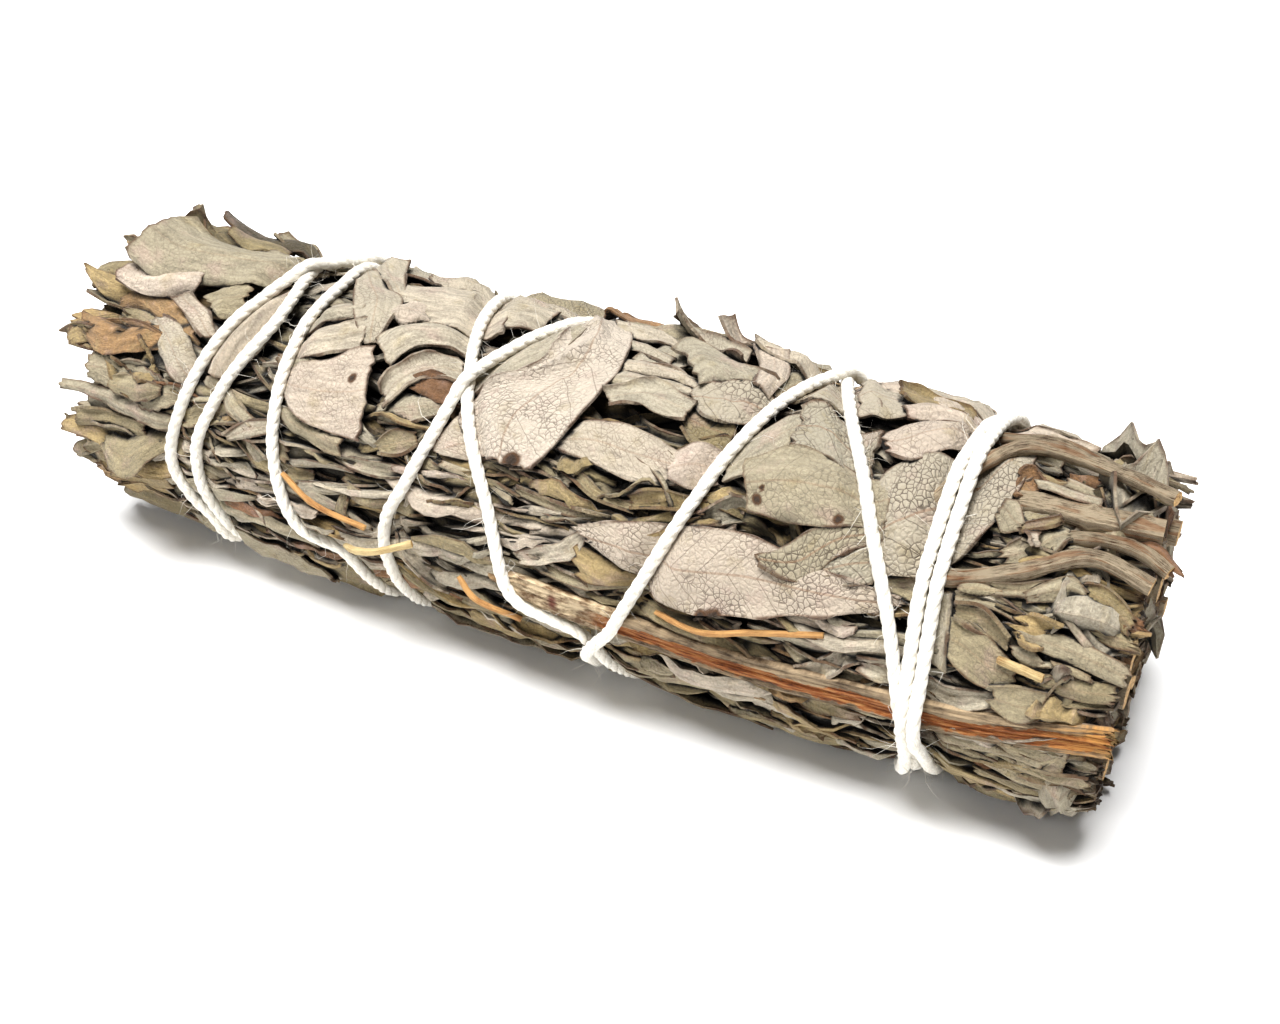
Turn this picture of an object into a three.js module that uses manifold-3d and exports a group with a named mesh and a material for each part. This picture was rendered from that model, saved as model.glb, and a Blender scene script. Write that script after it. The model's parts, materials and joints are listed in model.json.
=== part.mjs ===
// A dried sage bunch: leafy cuttings packed side by side, cut square at one end, with the leaf tips
// fanned out at the other, and tied round with one length of cotton twine.
// Millimetres, +Z up. The bunch lies along X on the plane z = 0, leaf tips at -X, cut stems at +X.
// Angles run round the bunch in degrees, from 0 at the top over the front (-Y) at 90 to 180 below.
import * as THREE from "three";
import { mergeVertices } from "three/addons/utils/BufferGeometryUtils.js";
import Module from "manifold-3d";

const wasm = await Module();
wasm.setup();

// Driving dimensions
const axisHeight = 16.9; // centre line above the surface; the bunch is pressed flat where it lies
const cutEndX = 64; // where the stems and leaves were cut square
const middle = { x: 3.46, y: -0.82 }; // of the whole bunch, from where its places are counted
const leafLevel = 1.1; // outer leaf layer below the girth
const bladeThickness = 0.7;
const rootDepth = 1.7; // how far a leaf that lies flat is sunk below its own thickness
const core = { depth: 2.4, tipX: -49, tipRadius: 9, stations: [-46, -30, -5, 25, 60], sides: 16 };
const fitGap = 0.3; // between the leaves and what is pressed into them
const twineRadius = 0.72;
const twineClearance = 0.35; // above whatever the twine crosses
const twineStepDegrees = 15;
const crossingReach = 4.6; // how near an earlier turn a strand starts to rise over it
const knotRadius = 1.5;
const tails = [{ along: 6, up: 1.5 }, { along: -5, up: 3 }]; // the twine's two ends, past the knot

// Steps that spread leaves evenly: degrees round the bunch, and a share of its length
const goldenAngle = 137.508;
const evenStep = 0.618034;

const finishes = {
  leaf: { color: 0x9a9486, roughness: 0.9 },
  bark: { color: 0xa8987f, roughness: 0.8 },
  innerBark: { color: 0xb08a55, roughness: 0.8 },
  splitWood: { color: 0xb5753a, roughness: 0.75 },
  straw: { color: 0xd9a45c, roughness: 0.7 },
  cotton: { color: 0xf2efe6, roughness: 0.95 },
};

// Radius of the bunch at places along it: pinched at the tip end, fullest past the middle.
const girths = [
  [-62, 15.0],
  [-50, 16.3],
  [-42, 17.4],
  [-25, 18.4],
  [-5, 18.8],
  [15, 19.2],
  [35, 19.3],
  [50, 19.0],
  [63, 18.5],
];

// Broad leaves laid over the upper half. x and angle give the middle of a leaf, and turn its long way,
// from +X towards the front. start and end are how wide its two ends are, as shares of its width,
// fullest is where it is widest, level how high it lies on its neighbours, lift how far its ends stand off.
const broadLeaves = [
  { x: -45, angle: -5, length: 19, width: 13, turn: 2, start: 0.35, end: 0.8, level: 0.3, lift: [3.4, 0] },
  { x: -50, angle: 16, length: 9, width: 5.5, turn: -12, start: 0.3, end: 0.8, lift: [2.4, 0] },
  { x: -41.5, angle: 32, length: 11, width: 5.5, turn: 41, start: 0.9, end: 0.6 },
  { x: -34.5, angle: 27, length: 13.5, width: 5, turn: 100, start: 0.6, end: 0.7, dome: 1.1 },
  { x: -25, angle: 25, length: 10, width: 4.4, turn: -26, start: 0.5, end: 0.5, dome: 1.0 },
  { x: -21, angle: 10, length: 11, width: 6, turn: 60, start: 0.7, end: 0.2, level: 0.3 },
  { x: -11, angle: 0, length: 12, width: 8, turn: -25, start: 0.7, end: 0.7 },
  { x: -12.5, angle: 22, length: 12, width: 4.6, turn: -23, start: 0.6, end: 0.8, dome: 1.2 },
  { x: -21, angle: 46, length: 13, width: 10, turn: -8, start: 0.35, end: 0.95, fullest: 0.8, level: 0.5 },
  { x: 1, angle: 21, length: 21, width: 14, turn: 96, start: 0.55, end: 0.8, level: 0.4, lift: [0, 0.7] },
  { x: 15, angle: 37, length: 17, width: 5.2, turn: 3, start: 0.4, end: 0.9, dome: 0.8 },
  { x: 13, angle: 19, length: 10, width: 4.4, turn: 5, start: 0.3, end: 0.7, level: 0.3 },
  { x: 15, angle: 0, length: 10, width: 6, turn: 45, start: 0.6, end: 0.5 },
  { x: 24, angle: 25, length: 15, width: 5.8, turn: -38, start: 0.6, end: 0.95, level: 0.3, lift: [0, 0.8] },
  { x: 31, angle: -4, length: 14, width: 6.5, turn: 12, start: 0.6, end: 0.7, level: 0.2 },
  { x: 23, angle: -12, length: 12, width: 5, turn: -114, start: 0.15, end: 0.9, lift: [0, 0.9] },
  { x: 34, angle: 17, length: 12, width: 5.2, turn: 28, start: 0.6, end: 0.6, dome: 0.9 },
  { x: 32.5, angle: 36, length: 13, width: 6, turn: 3, start: 0.8, end: 0.7, level: 0.3 },
  { x: 37, angle: 52, length: 14, width: 5.6, turn: -24, start: 0.1, end: 0.9, level: 0.4 },
  { x: 44.5, angle: 23, length: 20, width: 10.5, turn: -58, start: 0.6, end: 0.3, level: 0.3 },
  { x: 28, angle: 62, length: 34, width: 8.8, turn: -8, start: 0.75, end: 0.3, fullest: 0.35, level: 0.5 },
  { x: 41, angle: 4, length: 9, width: 4.4, turn: -35, start: 0.2, end: 0.9 },
  { x: 53, angle: 66, length: 10, width: 4.4, turn: 27, start: 0.5, end: 0.8, level: 0.3 },
  { x: 55.5, angle: 50, length: 10, width: 4, turn: 12, start: 0.6, end: 0.9 },
  { x: 59.5, angle: 62, length: 9, width: 3.6, turn: 18, start: 0.6, end: 0.9 },
];

// The rest of the outer layer, in bands round the bunch: how many leaves each holds, their sizes and how
// far they stray from the bunch's own way.
const broadReach = [-34, 51];
const broadBands = [
  { count: 9, from: 132, to: 234, length: [21, 27], width: [9, 12], stray: 14 },
  { count: 11, from: 242, to: 336, length: [16, 24], width: [6.5, 9.5], stray: 32 },
];
const narrowReach = [-41, 57];
const narrowBands = [
  { count: 14, from: -24, to: 62, length: [12, 18], width: [2.8, 4.2], stray: 16 },
  { count: 34, from: 64, to: 128, length: [16, 24], width: [3.2, 4.6], stray: 10 },
  { count: 18, from: 238, to: 334, length: [14, 22], width: [3.2, 4.8], stray: 14 },
];
// The leaves of the two ends, packed from the centre line out to the farthest. A splayed tip stands outwards.
const tipLeaves = {
  count: 36,
  length: [12, 16],
  width: [3.6, 6.4],
  reach: [-60, -52],
  farthest: 14.2,
  splay: [0.4, 2.2],
  stray: 14,
};
const cutLeaves = {
  count: 18,
  length: 6,
  width: [4, 7.5],
  reach: [cutEndX - 1.8, cutEndX],
  farthest: 16.6,
  stray: 5,
};

// Woody stems on the outside: x, angle and distance from the centre line at points along each.
const outerStems = [
  {
    name: "stem_thick",
    radius: 1.35,
    path: [[32, 20, 14], [44, 17, 15.6], [53, 16, 17.6], [59, 16.5, 18.2], [65, 14.5, 18]],
  },
  {
    name: "stem_arched",
    radius: 0.8,
    path: [
      [43, 30, 16.8], [45.8, 17, 18.7], [49.4, 2, 19.5], [52, -1, 19.8], [58.6, 3, 20.4], [65.4, 9, 20.8],
    ],
  },
  {
    name: "stem_tan",
    radius: 0.9,
    path: [[42, 50, 16], [49, 46, 18], [54, 40, 18.8], [60, 30.5, 19], [65.6, 33.5, 18.6]],
  },
  {
    name: "stem_top",
    radius: 0.65,
    path: [[40, -14, 16.4], [48, -9, 18.4], [53, -12, 18.8], [58, -5, 18.9], [64.6, 1, 18.8]],
  },
  {
    name: "stem_hooked",
    radius: 0.8,
    path: [[46, 27, 15], [54, 25, 16.6], [61, 22.5, 18], [64, 23.5, 18], [66.6, 27, 17.8]],
  },
];
// Straight stems inside, seen only where they were cut.
const innerStems = [
  { name: "stem_inner_a", radius: 1.7, from: -18, to: 64.9, angle: 112, distance: 5.2 },
  { name: "stem_inner_b", radius: 1.4, from: -12, to: 64.4, angle: 206, distance: 7 },
  { name: "stem_inner_c", radius: 1.5, from: -18, to: 64.7, angle: 305, distance: 6.5 },
  { name: "stem_inner_d", radius: 1.2, from: 0, to: 65.2, angle: 58, distance: 10.6 },
  { name: "stem_inner_e", radius: 1.3, from: 0, to: 64.6, angle: 150, distance: 12.6 },
  { name: "stem_inner_f", radius: 1.1, from: 4, to: 64.9, angle: 253, distance: 12.8 },
  { name: "stem_inner_g", radius: 1.3, from: 2, to: 65.4, angle: 338, distance: 12.2 },
  { name: "stem_inner_h", radius: 1.1, from: 10, to: 64.7, angle: 98, distance: 13.4 },
];
// One stem is split along its length and shows its wood on the outside.
const splitStem = {
  width: 2.9,
  depth: 1.6,
  path: [
    [3, 91, 18.6], [11, 92.5, 18.8], [30, 94, 18.9], [41.5, 91.5, 18.8], [52, 89, 18.6], [65.6, 81, 18.2],
  ],
};
// Thin dry twigs caught in the outside.
const twigs = [
  {
    name: "twig_orange",
    radius: 0.42,
    path: [[-24.5, 76, 18.8], [-20.4, 82.5, 19.2], [-13.8, 86.5, 18.9]],
  },
  {
    name: "twig_straw",
    radius: 0.45,
    path: [[-17, 98, 18.6], [-13.9, 92, 20.6], [-11.6, 90, 20.7], [-8, 87, 18.8]],
  },
  {
    name: "twig_long",
    radius: 0.4,
    path: [[20.5, 83.5, 18.8], [25.5, 84.3, 19.4], [31, 79, 19.4], [38, 73.6, 18.9]],
  },
  {
    name: "twig_bent",
    radius: 0.42,
    path: [[-2.6, 95, 18.6], [-0.6, 101, 19.2], [4.6, 106, 18.8]],
  },
  {
    name: "twig_short",
    radius: 0.5,
    path: [[54.4, 65, 18.9], [58.8, 66.5, 19.0]],
  },
];

// Way of the twine: x, and the angle as it winds round and round the bunch, from the knot at the
// cut end to the tips and back over itself.
const twineWay = [
  [47.2, 250], [46, 215], [45.6, 180], [46.6, 145], [47.3, 105], [44.3, 70], [38.6, 33], [30.6, -16],
  [25, -80], [19.5, -150], [14.6, -220], [12.1, -253], [4.3, -266], [-0.4, -296], [-6, -330], [-10.4, -373],
  [-13, -440], [-15.5, -540], [-17.7, -606], [-24.5, -621], [-27.1, -651], [-28, -690], [-28.6, -728],
  [-31, -800], [-34.6, -900], [-36.6, -961], [-37.8, -994], [-35.2, -1024], [-31.6, -1058], [-32.8, -1085],
  [-37, -1150], [-38.6, -1240], [-37.4, -1312], [-40.4, -1333], [-41.6, -1350], [-40, -1376], [-36.2, -1416],
  [-30.6, -1462], [-26, -1510], [-17, -1545], [-12.6, -1580], [-11.6, -1620], [-12.2, -1670], [-12.4, -1710],
  [-9.5, -1735], [-5.2, -1780], [-0.5, -1816], [4.5, -1880], [8, -1970], [11.3, -2040], [16.2, -2068],
  [21.5, -2110], [27.4, -2173], [35, -2240], [39.8, -2305], [42.2, -2340], [44.8, -2375], [47.3, -2415],
  [45.8, -2470], [45.6, -2527], [46.2, -2600], [48.2, -2665], [47.9, -2700], [48.6, -2735], [48.7, -2775],
  [47.3, -2830], [46.9, -2887], [47.2, -2990],
];

const { degToRad, radToDeg, lerp: mix, clamp, smoothstep } = THREE.MathUtils;

// A repeatable stream of draws between 0 and 1.
function drawer(seed) {
  let state = seed;
  return () => {
    state = (state * 16807) % 2147483647;
    return state / 2147483647;
  };
}

// Radius of the bunch anywhere along it.
function girth(x) {
  const inside = clamp(x, girths[0][0], girths[girths.length - 1][0]);
  const i = Math.max(1, girths.findIndex(([station]) => station >= inside));
  const [x0, r0] = girths[i - 1];
  const [x1, r1] = girths[i];
  return mix(r0, r1, smoothstep(inside, x0, x1));
}

// A point at a place along the bunch, an angle round it and a distance from its centre line.
function roundBunch(x, angle, distance) {
  const a = degToRad(angle);
  return new THREE.Vector3(x, -distance * Math.sin(a), axisHeight + distance * Math.cos(a));
}

function reshape(geometry, rule) {
  const places = geometry.attributes.position;
  for (let i = 0; i < places.count; i++) {
    const place = rule(places.getX(i), places.getY(i), places.getZ(i));
    places.setXYZ(i, place.x, place.y, place.z);
  }
  return geometry;
}

function toSolid(geometry) {
  const bare = geometry.clone();
  bare.deleteAttribute("normal");
  bare.deleteAttribute("uv");
  const merged = mergeVertices(bare, 1e-4);
  return new wasm.Manifold(new wasm.Mesh({
    numProp: 3,
    vertProperties: new Float32Array(merged.attributes.position.array),
    triVerts: new Uint32Array(merged.index.array),
  }));
}

function toGeometry(solid) {
  const mesh = solid.getMesh();
  const geometry = new THREE.BufferGeometry();
  geometry.setAttribute("position", new THREE.BufferAttribute(mesh.vertProperties, 3));
  geometry.setIndex(new THREE.BufferAttribute(mesh.triVerts, 1));
  geometry.computeVertexNormals();
  return geometry;
}

// The largest closed surface of a solid: without loose scraps, and with sealed hollows filled.
function mainBody(solid) {
  const bodies = solid.decompose();
  return bodies.reduce((best, body) => (body.volume() > best.volume() ? body : best));
}

// How wide a leaf is at a place along it, as a share of its full width.
function outline({ start, end, fullest = 0.5 }, along) {
  const before = along < fullest;
  const edge = before ? start : end;
  const reach = before ? along / fullest : (1 - along) / (1 - fullest);
  return edge + (1 - edge) * Math.sin((reach * Math.PI) / 2);
}

// Where a point of a leaf comes: forward along the leaf and sideways from its rib, wrapped round the bunch.
function onBunch(leaf, forward, sideways) {
  const turn = degToRad(leaf.turn);
  const around = forward * Math.sin(turn) + sideways * Math.cos(turn);
  const x = leaf.x + forward * Math.cos(turn) - sideways * Math.sin(turn);
  return { x, angle: leaf.angle + radToDeg(around / Math.max(leaf.distance ?? girth(leaf.x), 3)) };
}

// An open leaf: a slab cut to the leaf's waved outline, domed across, its underside rooted in the bunch
// except where an end stands off.
function openLeaf(leaf, lengthwise, crosswise) {
  const { length, width, dome = 0.5, level = 0, lift = [0, 0], endSink = 0.9 } = leaf;
  const slab = new THREE.BoxGeometry(1, 2, 1, lengthwise, crosswise, 1);
  return toSolid(reshape(slab, (u, across, side) => {
    const along = u + 0.5;
    const wave = Math.round(along * lengthwise) % 2 ? 1.04 : 0.9;
    const toEnd = 2 * along - 1;
    const standOff = toEnd < 0 ? lift[0] : lift[1];
    const { x, angle } = onBunch(leaf, u * length, (-across * width * wave * outline(leaf, along)) / 2);
    const height = level + dome * (1 - across * across) + toEnd * toEnd * (standOff || -endSink);
    const root = bladeThickness + level + rootDepth * (standOff ? 1 - toEnd * toEnd : 1);
    return roundBunch(x, angle, girth(x) - leafLevel + height - (side < 0 ? root : 0));
  }));
}

// A leaf folded along its rib: a narrow ridge, its keel rooted in the bunch.
function foldedLeaf(leaf) {
  const ridge = new THREE.CylinderGeometry(1, 1, 1, 3, 2);
  return toSolid(reshape(ridge, (across, u, up) => {
    const along = u + 0.5;
    const full = outline(leaf, along);
    const { x, angle } = onBunch(leaf, u * leaf.length, (across * leaf.width * full) / 2);
    const toEnd = 2 * along - 1;
    const height = leaf.rise - 0.8 * toEnd * toEnd + up * leaf.keel * full;
    return roundBunch(x, angle, girth(x) - leafLevel + height);
  }));
}

// A leaf of one of the two ends: a thin blade at its own distance from the centre line.
function endLeaf(leaf, lengthwise, crosswise) {
  const slab = new THREE.BoxGeometry(1, 2, bladeThickness, lengthwise, crosswise, 1);
  return toSolid(reshape(slab, (u, across, side) => {
    const along = u + 0.5;
    const { x, angle } = onBunch(leaf, u * leaf.length, (-across * leaf.width * outline(leaf, along)) / 2);
    const bow = leaf.dome * (1 - across * across);
    return roundBunch(x, angle, mix(leaf.distanceAtTip, leaf.distance, along) + bow + side);
  }));
}

function broadBandLeaves({ count, from, to, length, width, stray }, seed) {
  const draw = drawer(seed);
  return Array.from({ length: count }, (_, i) => openLeaf({
    x: mix(...broadReach, (i * evenStep + 0.2) % 1),
    angle: mix(from, to, (i + 0.5) / count),
    length: mix(...length, draw()),
    width: mix(...width, draw()),
    turn: mix(-1, 1, draw()) * stray,
    start: mix(0.2, 0.6, draw()),
    end: mix(0.4, 0.9, draw()),
  }, 3, 1));
}

function narrowBandLeaves({ count, from, to, length, width, stray }, seed) {
  const draw = drawer(seed);
  return Array.from({ length: count }, (_, i) => foldedLeaf({
    x: mix(...narrowReach, (i * evenStep + 0.1) % 1),
    angle: mix(from, to, (i + 0.5) / count),
    length: mix(...length, draw()),
    width: mix(...width, draw()),
    turn: mix(-1, 1, draw()) * stray,
    start: mix(0.1, 0.5, draw()),
    end: mix(0.1, 0.6, draw()),
    rise: mix(-1.2, -0.6, draw()),
    keel: 1.5,
  }));
}

// The fan at the tip end: leaves side by side from the middle outwards, splayed past the last turns of twine.
function tipFan() {
  const draw = drawer(5303);
  return Array.from({ length: tipLeaves.count }, (_, i) => {
    const spread = Math.sqrt((i + 0.5) / tipLeaves.count);
    const length = mix(...tipLeaves.length, draw());
    return endLeaf({
      x: mix(...tipLeaves.reach, draw() * (0.4 + 0.6 * spread)) + length / 2,
      angle: i * goldenAngle,
      length,
      width: mix(...tipLeaves.width, draw()),
      turn: mix(-1, 1, draw()) * tipLeaves.stray,
      start: mix(0.15, 0.45, draw()),
      end: 0.8,
      distance: spread * tipLeaves.farthest,
      distanceAtTip: spread * (tipLeaves.farthest + mix(...tipLeaves.splay, draw())),
      dome: mix(-0.6, 0.9, draw()),
    }, 3, 1);
  });
}

// The cut end: leaf blades packed between the stems, all cut off square.
function cutFace() {
  const draw = drawer(911);
  return Array.from({ length: cutLeaves.count }, (_, i) => {
    const spread = Math.sqrt((i + 0.5) / cutLeaves.count);
    return endLeaf({
      x: mix(...cutLeaves.reach, draw()) - cutLeaves.length / 2,
      angle: i * goldenAngle + 40,
      length: cutLeaves.length,
      width: mix(...cutLeaves.width, draw()),
      turn: mix(-1, 1, draw()) * cutLeaves.stray,
      start: 0.9,
      end: 0.9,
      distance: spread * cutLeaves.farthest,
      distanceAtTip: spread * cutLeaves.farthest,
      dome: mix(-0.7, 1.1, draw()),
    }, 1, 2);
  });
}

// The packed middle that the outer leaves grow from.
function packedCore() {
  const tip = [[0, core.tipX], [core.tipRadius, core.tipX]];
  const rings = core.stations.map((x) => [girth(x) - core.depth, x]);
  const profile = [...tip, ...rings, [0, core.stations.at(-1)]];
  const turned = new THREE.LatheGeometry(profile.map((corner) => new THREE.Vector2(...corner)), core.sides);
  turned.rotateZ(-Math.PI / 2);
  turned.translate(0, 0, axisHeight);
  return toSolid(turned);
}

// A round cross section.
function ring(radius, sides) {
  return new THREE.Shape(Array.from({ length: sides }, (_, i) => {
    const a = (i * 2 * Math.PI) / sides;
    return new THREE.Vector2(radius * Math.cos(a), radius * Math.sin(a));
  }));
}

// A round rod along a smooth way through the points.
function rod(points, radius, sides, steps) {
  const extrudePath = new THREE.CatmullRomCurve3(points, false, "centripetal");
  return new THREE.ExtrudeGeometry(ring(radius, sides), { extrudePath, steps, bevelEnabled: false });
}

// A stem, or the channel that it lies in: the same rod, wider and longer by the gap between them.
function stemRod({ radius, path }, extra = 0) {
  const points = path.map((place) => roundBunch(...place));
  const ends = [[points.at(0), points.at(1)], [points.at(-1), points.at(-2)]];
  ends.forEach(([end, next]) => end.addScaledVector(end.clone().sub(next).normalize(), extra));
  return rod(points, radius + extra, 7, 9);
}

function innerStemRod({ radius, from, to, angle, distance }, extra = 0) {
  const ends = [from - extra, to + extra].map((x) => roundBunch(x, angle, distance));
  return rod(ends, radius + extra, 6, 1);
}

// The split stem: round bark below, its flat split face outwards.
function splitStemStrip({ width, depth, path }, extra = 0) {
  const places = path.map((place) => new THREE.Vector3(...place));
  const line = new THREE.CatmullRomCurve3(places, false, "centripetal");
  const bar = new THREE.BoxGeometry(1, 2, 1, 12, 2, 1);
  return reshape(bar, (u, across, side) => {
    const place = line.getPoint(u + 0.5);
    const angle = place.y - radToDeg((across * (width / 2 + extra)) / place.z);
    const low = side < 0 ? depth * (1 - 0.55 * across * across) + extra : -extra;
    return roundBunch(place.x + 2 * u * extra, angle, place.z - low);
  });
}

// Places along the twine's way, evenly spaced round the bunch. Its angles are scaled to be about as large as
// its x for the curve through them.
function twinePlaces() {
  const angleScale = 20;
  const samples = 3000;
  const places = twineWay.map(([x, angle]) => new THREE.Vector3(x, angle / angleScale, 0));
  const way = new THREE.CatmullRomCurve3(places);
  const dense = way.getPoints(samples).map((point) => [point.x, point.y * angleScale]);
  const first = twineWay.at(0)[1];
  const last = twineWay.at(-1)[1];
  const count = Math.round((first - last) / twineStepDegrees);
  return Array.from({ length: count + 1 }, (_, k) => {
    const angle = mix(first, last, k / count);
    const after = clamp(dense.findIndex(([, reached]) => reached <= angle), 1, dense.length - 1);
    const [[x0, a0], [x1, a1]] = [dense[after - 1], dense[after]];
    return [mix(x0, x1, clamp((a0 - angle) / (a0 - a1), 0, 1)), angle];
  });
}

// How far the bunch reaches out at a place, felt from outside.
function reachOf(meshes, x, angle) {
  const outside = 30;
  const from = roundBunch(x, angle, outside);
  const towards = roundBunch(x, angle, 0).sub(from).normalize();
  const hit = new THREE.Raycaster(from, towards).intersectObjects(meshes)[0];
  return outside - hit.distance;
}

// How far a strand is raised where it meets an earlier turn, at least half a turn before it.
function strandStep(places, k) {
  const [x, angle] = places[k];
  const earlier = places.slice(0, Math.max(0, k - 9));
  const steps = earlier.map(([x0, angle0]) => {
    const turn = ((((angle0 - angle) % 360) + 540) % 360) - 180;
    return smoothstep(crossingReach - Math.hypot(x0 - x, degToRad(turn) * girth(x)), 0, 3);
  });
  return Math.max(0, ...steps) * (2 * twineRadius + 0.2);
}

// The twine's centre line: it lies on the outermost leaves and stems all the way, steps up over its own
// earlier turns, and lies on the surface where it passes below the bunch.
function twinePoints(meshes) {
  const places = twinePlaces();
  const felt = places.map(([x, angle]) => {
    const around = [-9, 0, 9].flatMap((turn) => [-0.6, 0.6].map((aside) => [x + aside, angle + turn]));
    return Math.max(...around.map((place) => reachOf(meshes, ...place)));
  });
  const highest = felt.map((_, k) => Math.max(...felt.slice(Math.max(0, k - 1), k + 2)));
  return places.map(([x, angle], k) => {
    const near = highest.slice(Math.max(0, k - 1), k + 2);
    const reach = near.reduce((sum, each) => sum + each, 0) / near.length;
    const point = roundBunch(x, angle, reach + twineRadius + twineClearance + strandStep(places, k));
    point.z = Math.max(point.z, twineRadius + 0.3);
    return point;
  });
}

// Two turns of the strand knotted on each other where its ends meet, with the ends left a little long.
function knot(at, radius) {
  const loops = [0.25, 1.15].map((lean) => {
    const loop = new THREE.TorusGeometry(knotRadius, radius, 6, 9);
    return loop.rotateX(Math.PI / 2 + lean).rotateZ(lean).translate(at.x, at.y, at.z);
  });
  const ends = tails.map(({ along, up }) => rod([
    at,
    new THREE.Vector3(at.x + along * 0.5, at.y + 1.6, at.z + up),
    new THREE.Vector3(at.x + along, at.y + 2, at.z + up * 2.4),
  ], radius, 6, 4));
  return [...loops, ...ends];
}

// The whole strand with its knot, or the groove that it lies in.
function strand(line, radius) {
  const knotPlace = line.at(0).clone().lerp(line.at(-1), 0.5);
  const tubes = [rod(line, radius, 6, line.length - 1), ...knot(knotPlace, radius)];
  return mainBody(wasm.Manifold.union(tubes.map(toSolid)));
}

const group = new THREE.Group();

function addNode(name, geometry, { color, roughness }) {
  const mesh = new THREE.Mesh(geometry, new THREE.MeshStandardMaterial({ color, roughness, metalness: 0 }));
  mesh.name = name;
  group.add(mesh);
  return mesh;
}

outerStems.forEach((stem) => addNode(stem.name, stemRod(stem), finishes.bark));
innerStems.forEach((stem) => addNode(stem.name, innerStemRod(stem), finishes.innerBark));
addNode("stem_split", splitStemStrip(splitStem), finishes.splitWood);
twigs.forEach((twig) => addNode(twig.name, stemRod(twig), finishes.straw));

// Blocks that cut the leaves away below the surface and past the cut end.
const block = 200;
const surface = new THREE.BoxGeometry(block, block, block).translate(0, 0, -block / 2);
const cutAway = new THREE.BoxGeometry(block, block, block).translate(cutEndX + block / 2, 0, 0);
const pressedIn = [
  ...outerStems.map((stem) => stemRod(stem, fitGap)),
  ...innerStems.map((stem) => innerStemRod(stem, fitGap)),
  ...twigs.map((twig) => stemRod(twig, fitGap)),
  splitStemStrip(splitStem, fitGap),
  surface,
  cutAway,
].map(toSolid);

const grown = wasm.Manifold.union([
  packedCore(),
  ...broadLeaves.map((leaf) => openLeaf(leaf, leaf.length > 12 ? 4 : 2, leaf.width > 7 ? 2 : 1)),
  ...broadBands.flatMap((band, i) => broadBandLeaves(band, 20817 + i)),
  ...narrowBands.flatMap((band, i) => narrowBandLeaves(band, 7411 + i)),
  ...tipFan(),
  ...cutFace(),
]);
const packed = mainBody(grown.subtract(wasm.Manifold.union(pressedIn)));

// The twine is laid on the packed leaves and stems, and then pressed into the leaves.
const leaves = addNode("leaf_bunch", toGeometry(packed), finishes.leaf);
group.updateMatrixWorld(true);
const twineLine = twinePoints(group.children.filter((node) => !node.name.startsWith("twig")));
addNode("twine", toGeometry(strand(twineLine, twineRadius)), finishes.cotton);
leaves.geometry = toGeometry(mainBody(packed.subtract(strand(twineLine, twineRadius + fitGap))));

// The origin is on the surface, under the middle of the whole bunch.
group.position.set(-middle.x, -middle.y, 0);

export default group;
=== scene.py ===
import json
import math

import bpy
import numpy as np
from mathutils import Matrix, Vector, noise
from mathutils.bvhtree import BVHTree

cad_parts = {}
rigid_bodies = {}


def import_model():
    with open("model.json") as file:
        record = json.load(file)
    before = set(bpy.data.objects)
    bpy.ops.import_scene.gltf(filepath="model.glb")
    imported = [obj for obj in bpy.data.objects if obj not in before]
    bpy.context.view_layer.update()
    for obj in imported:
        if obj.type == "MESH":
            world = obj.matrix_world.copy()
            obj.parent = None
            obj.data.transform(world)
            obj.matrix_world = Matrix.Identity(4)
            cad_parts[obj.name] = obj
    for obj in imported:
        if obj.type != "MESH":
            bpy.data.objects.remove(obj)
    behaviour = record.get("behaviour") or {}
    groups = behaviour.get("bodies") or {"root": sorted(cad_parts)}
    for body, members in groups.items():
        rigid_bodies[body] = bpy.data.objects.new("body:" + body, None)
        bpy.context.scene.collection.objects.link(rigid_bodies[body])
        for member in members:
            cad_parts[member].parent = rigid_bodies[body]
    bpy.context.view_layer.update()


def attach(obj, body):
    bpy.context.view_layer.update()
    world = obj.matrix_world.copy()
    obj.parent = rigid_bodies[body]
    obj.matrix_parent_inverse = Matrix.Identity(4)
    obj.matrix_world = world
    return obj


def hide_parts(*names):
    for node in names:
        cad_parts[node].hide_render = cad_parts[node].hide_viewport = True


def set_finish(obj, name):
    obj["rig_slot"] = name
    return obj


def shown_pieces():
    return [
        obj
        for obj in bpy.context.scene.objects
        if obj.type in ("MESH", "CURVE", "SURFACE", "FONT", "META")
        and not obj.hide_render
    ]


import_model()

# The bunch lies along X. A place on it is x in mm, an angle round it in degrees (0 on top, 90 at the
# front, 180 below) and a height above its leaf layer. Flat places are x, -arc and height, in mm.
bunch = {
    "axisHeight": 16.9,
    "shift": (-3.46, 0.82),  # of the centre line, in the frame
    "ringRadius": 18.6,  # where arcs round the bunch are measured
    "leafLevel": 1.1,  # leaf layer below the girth
    "girths": [
        (-62, 15.0), (-50, 16.3), (-42, 17.4), (-25, 18.4), (-5, 18.8), (15, 19.2), (35, 19.3), (50, 19.0),
        (63, 18.5),
    ],
    "cutEnd": 64.6,
}


def mix(a, b, share):
    return a + (b - a) * share


def girth(x):
    stations, radii = zip(*bunch["girths"])
    return float(np.interp(x, stations, radii))


def roundBunch(x, angle, distance):
    a = math.radians(angle)
    shiftX, shiftY = bunch["shift"]
    y, z = shiftY - distance * math.sin(a), bunch["axisHeight"] + distance * math.cos(a)
    return Vector((x + shiftX, y, z)) * 0.001


def flatArc(angle):
    return -math.radians(angle) * bunch["ringRadius"]


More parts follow.
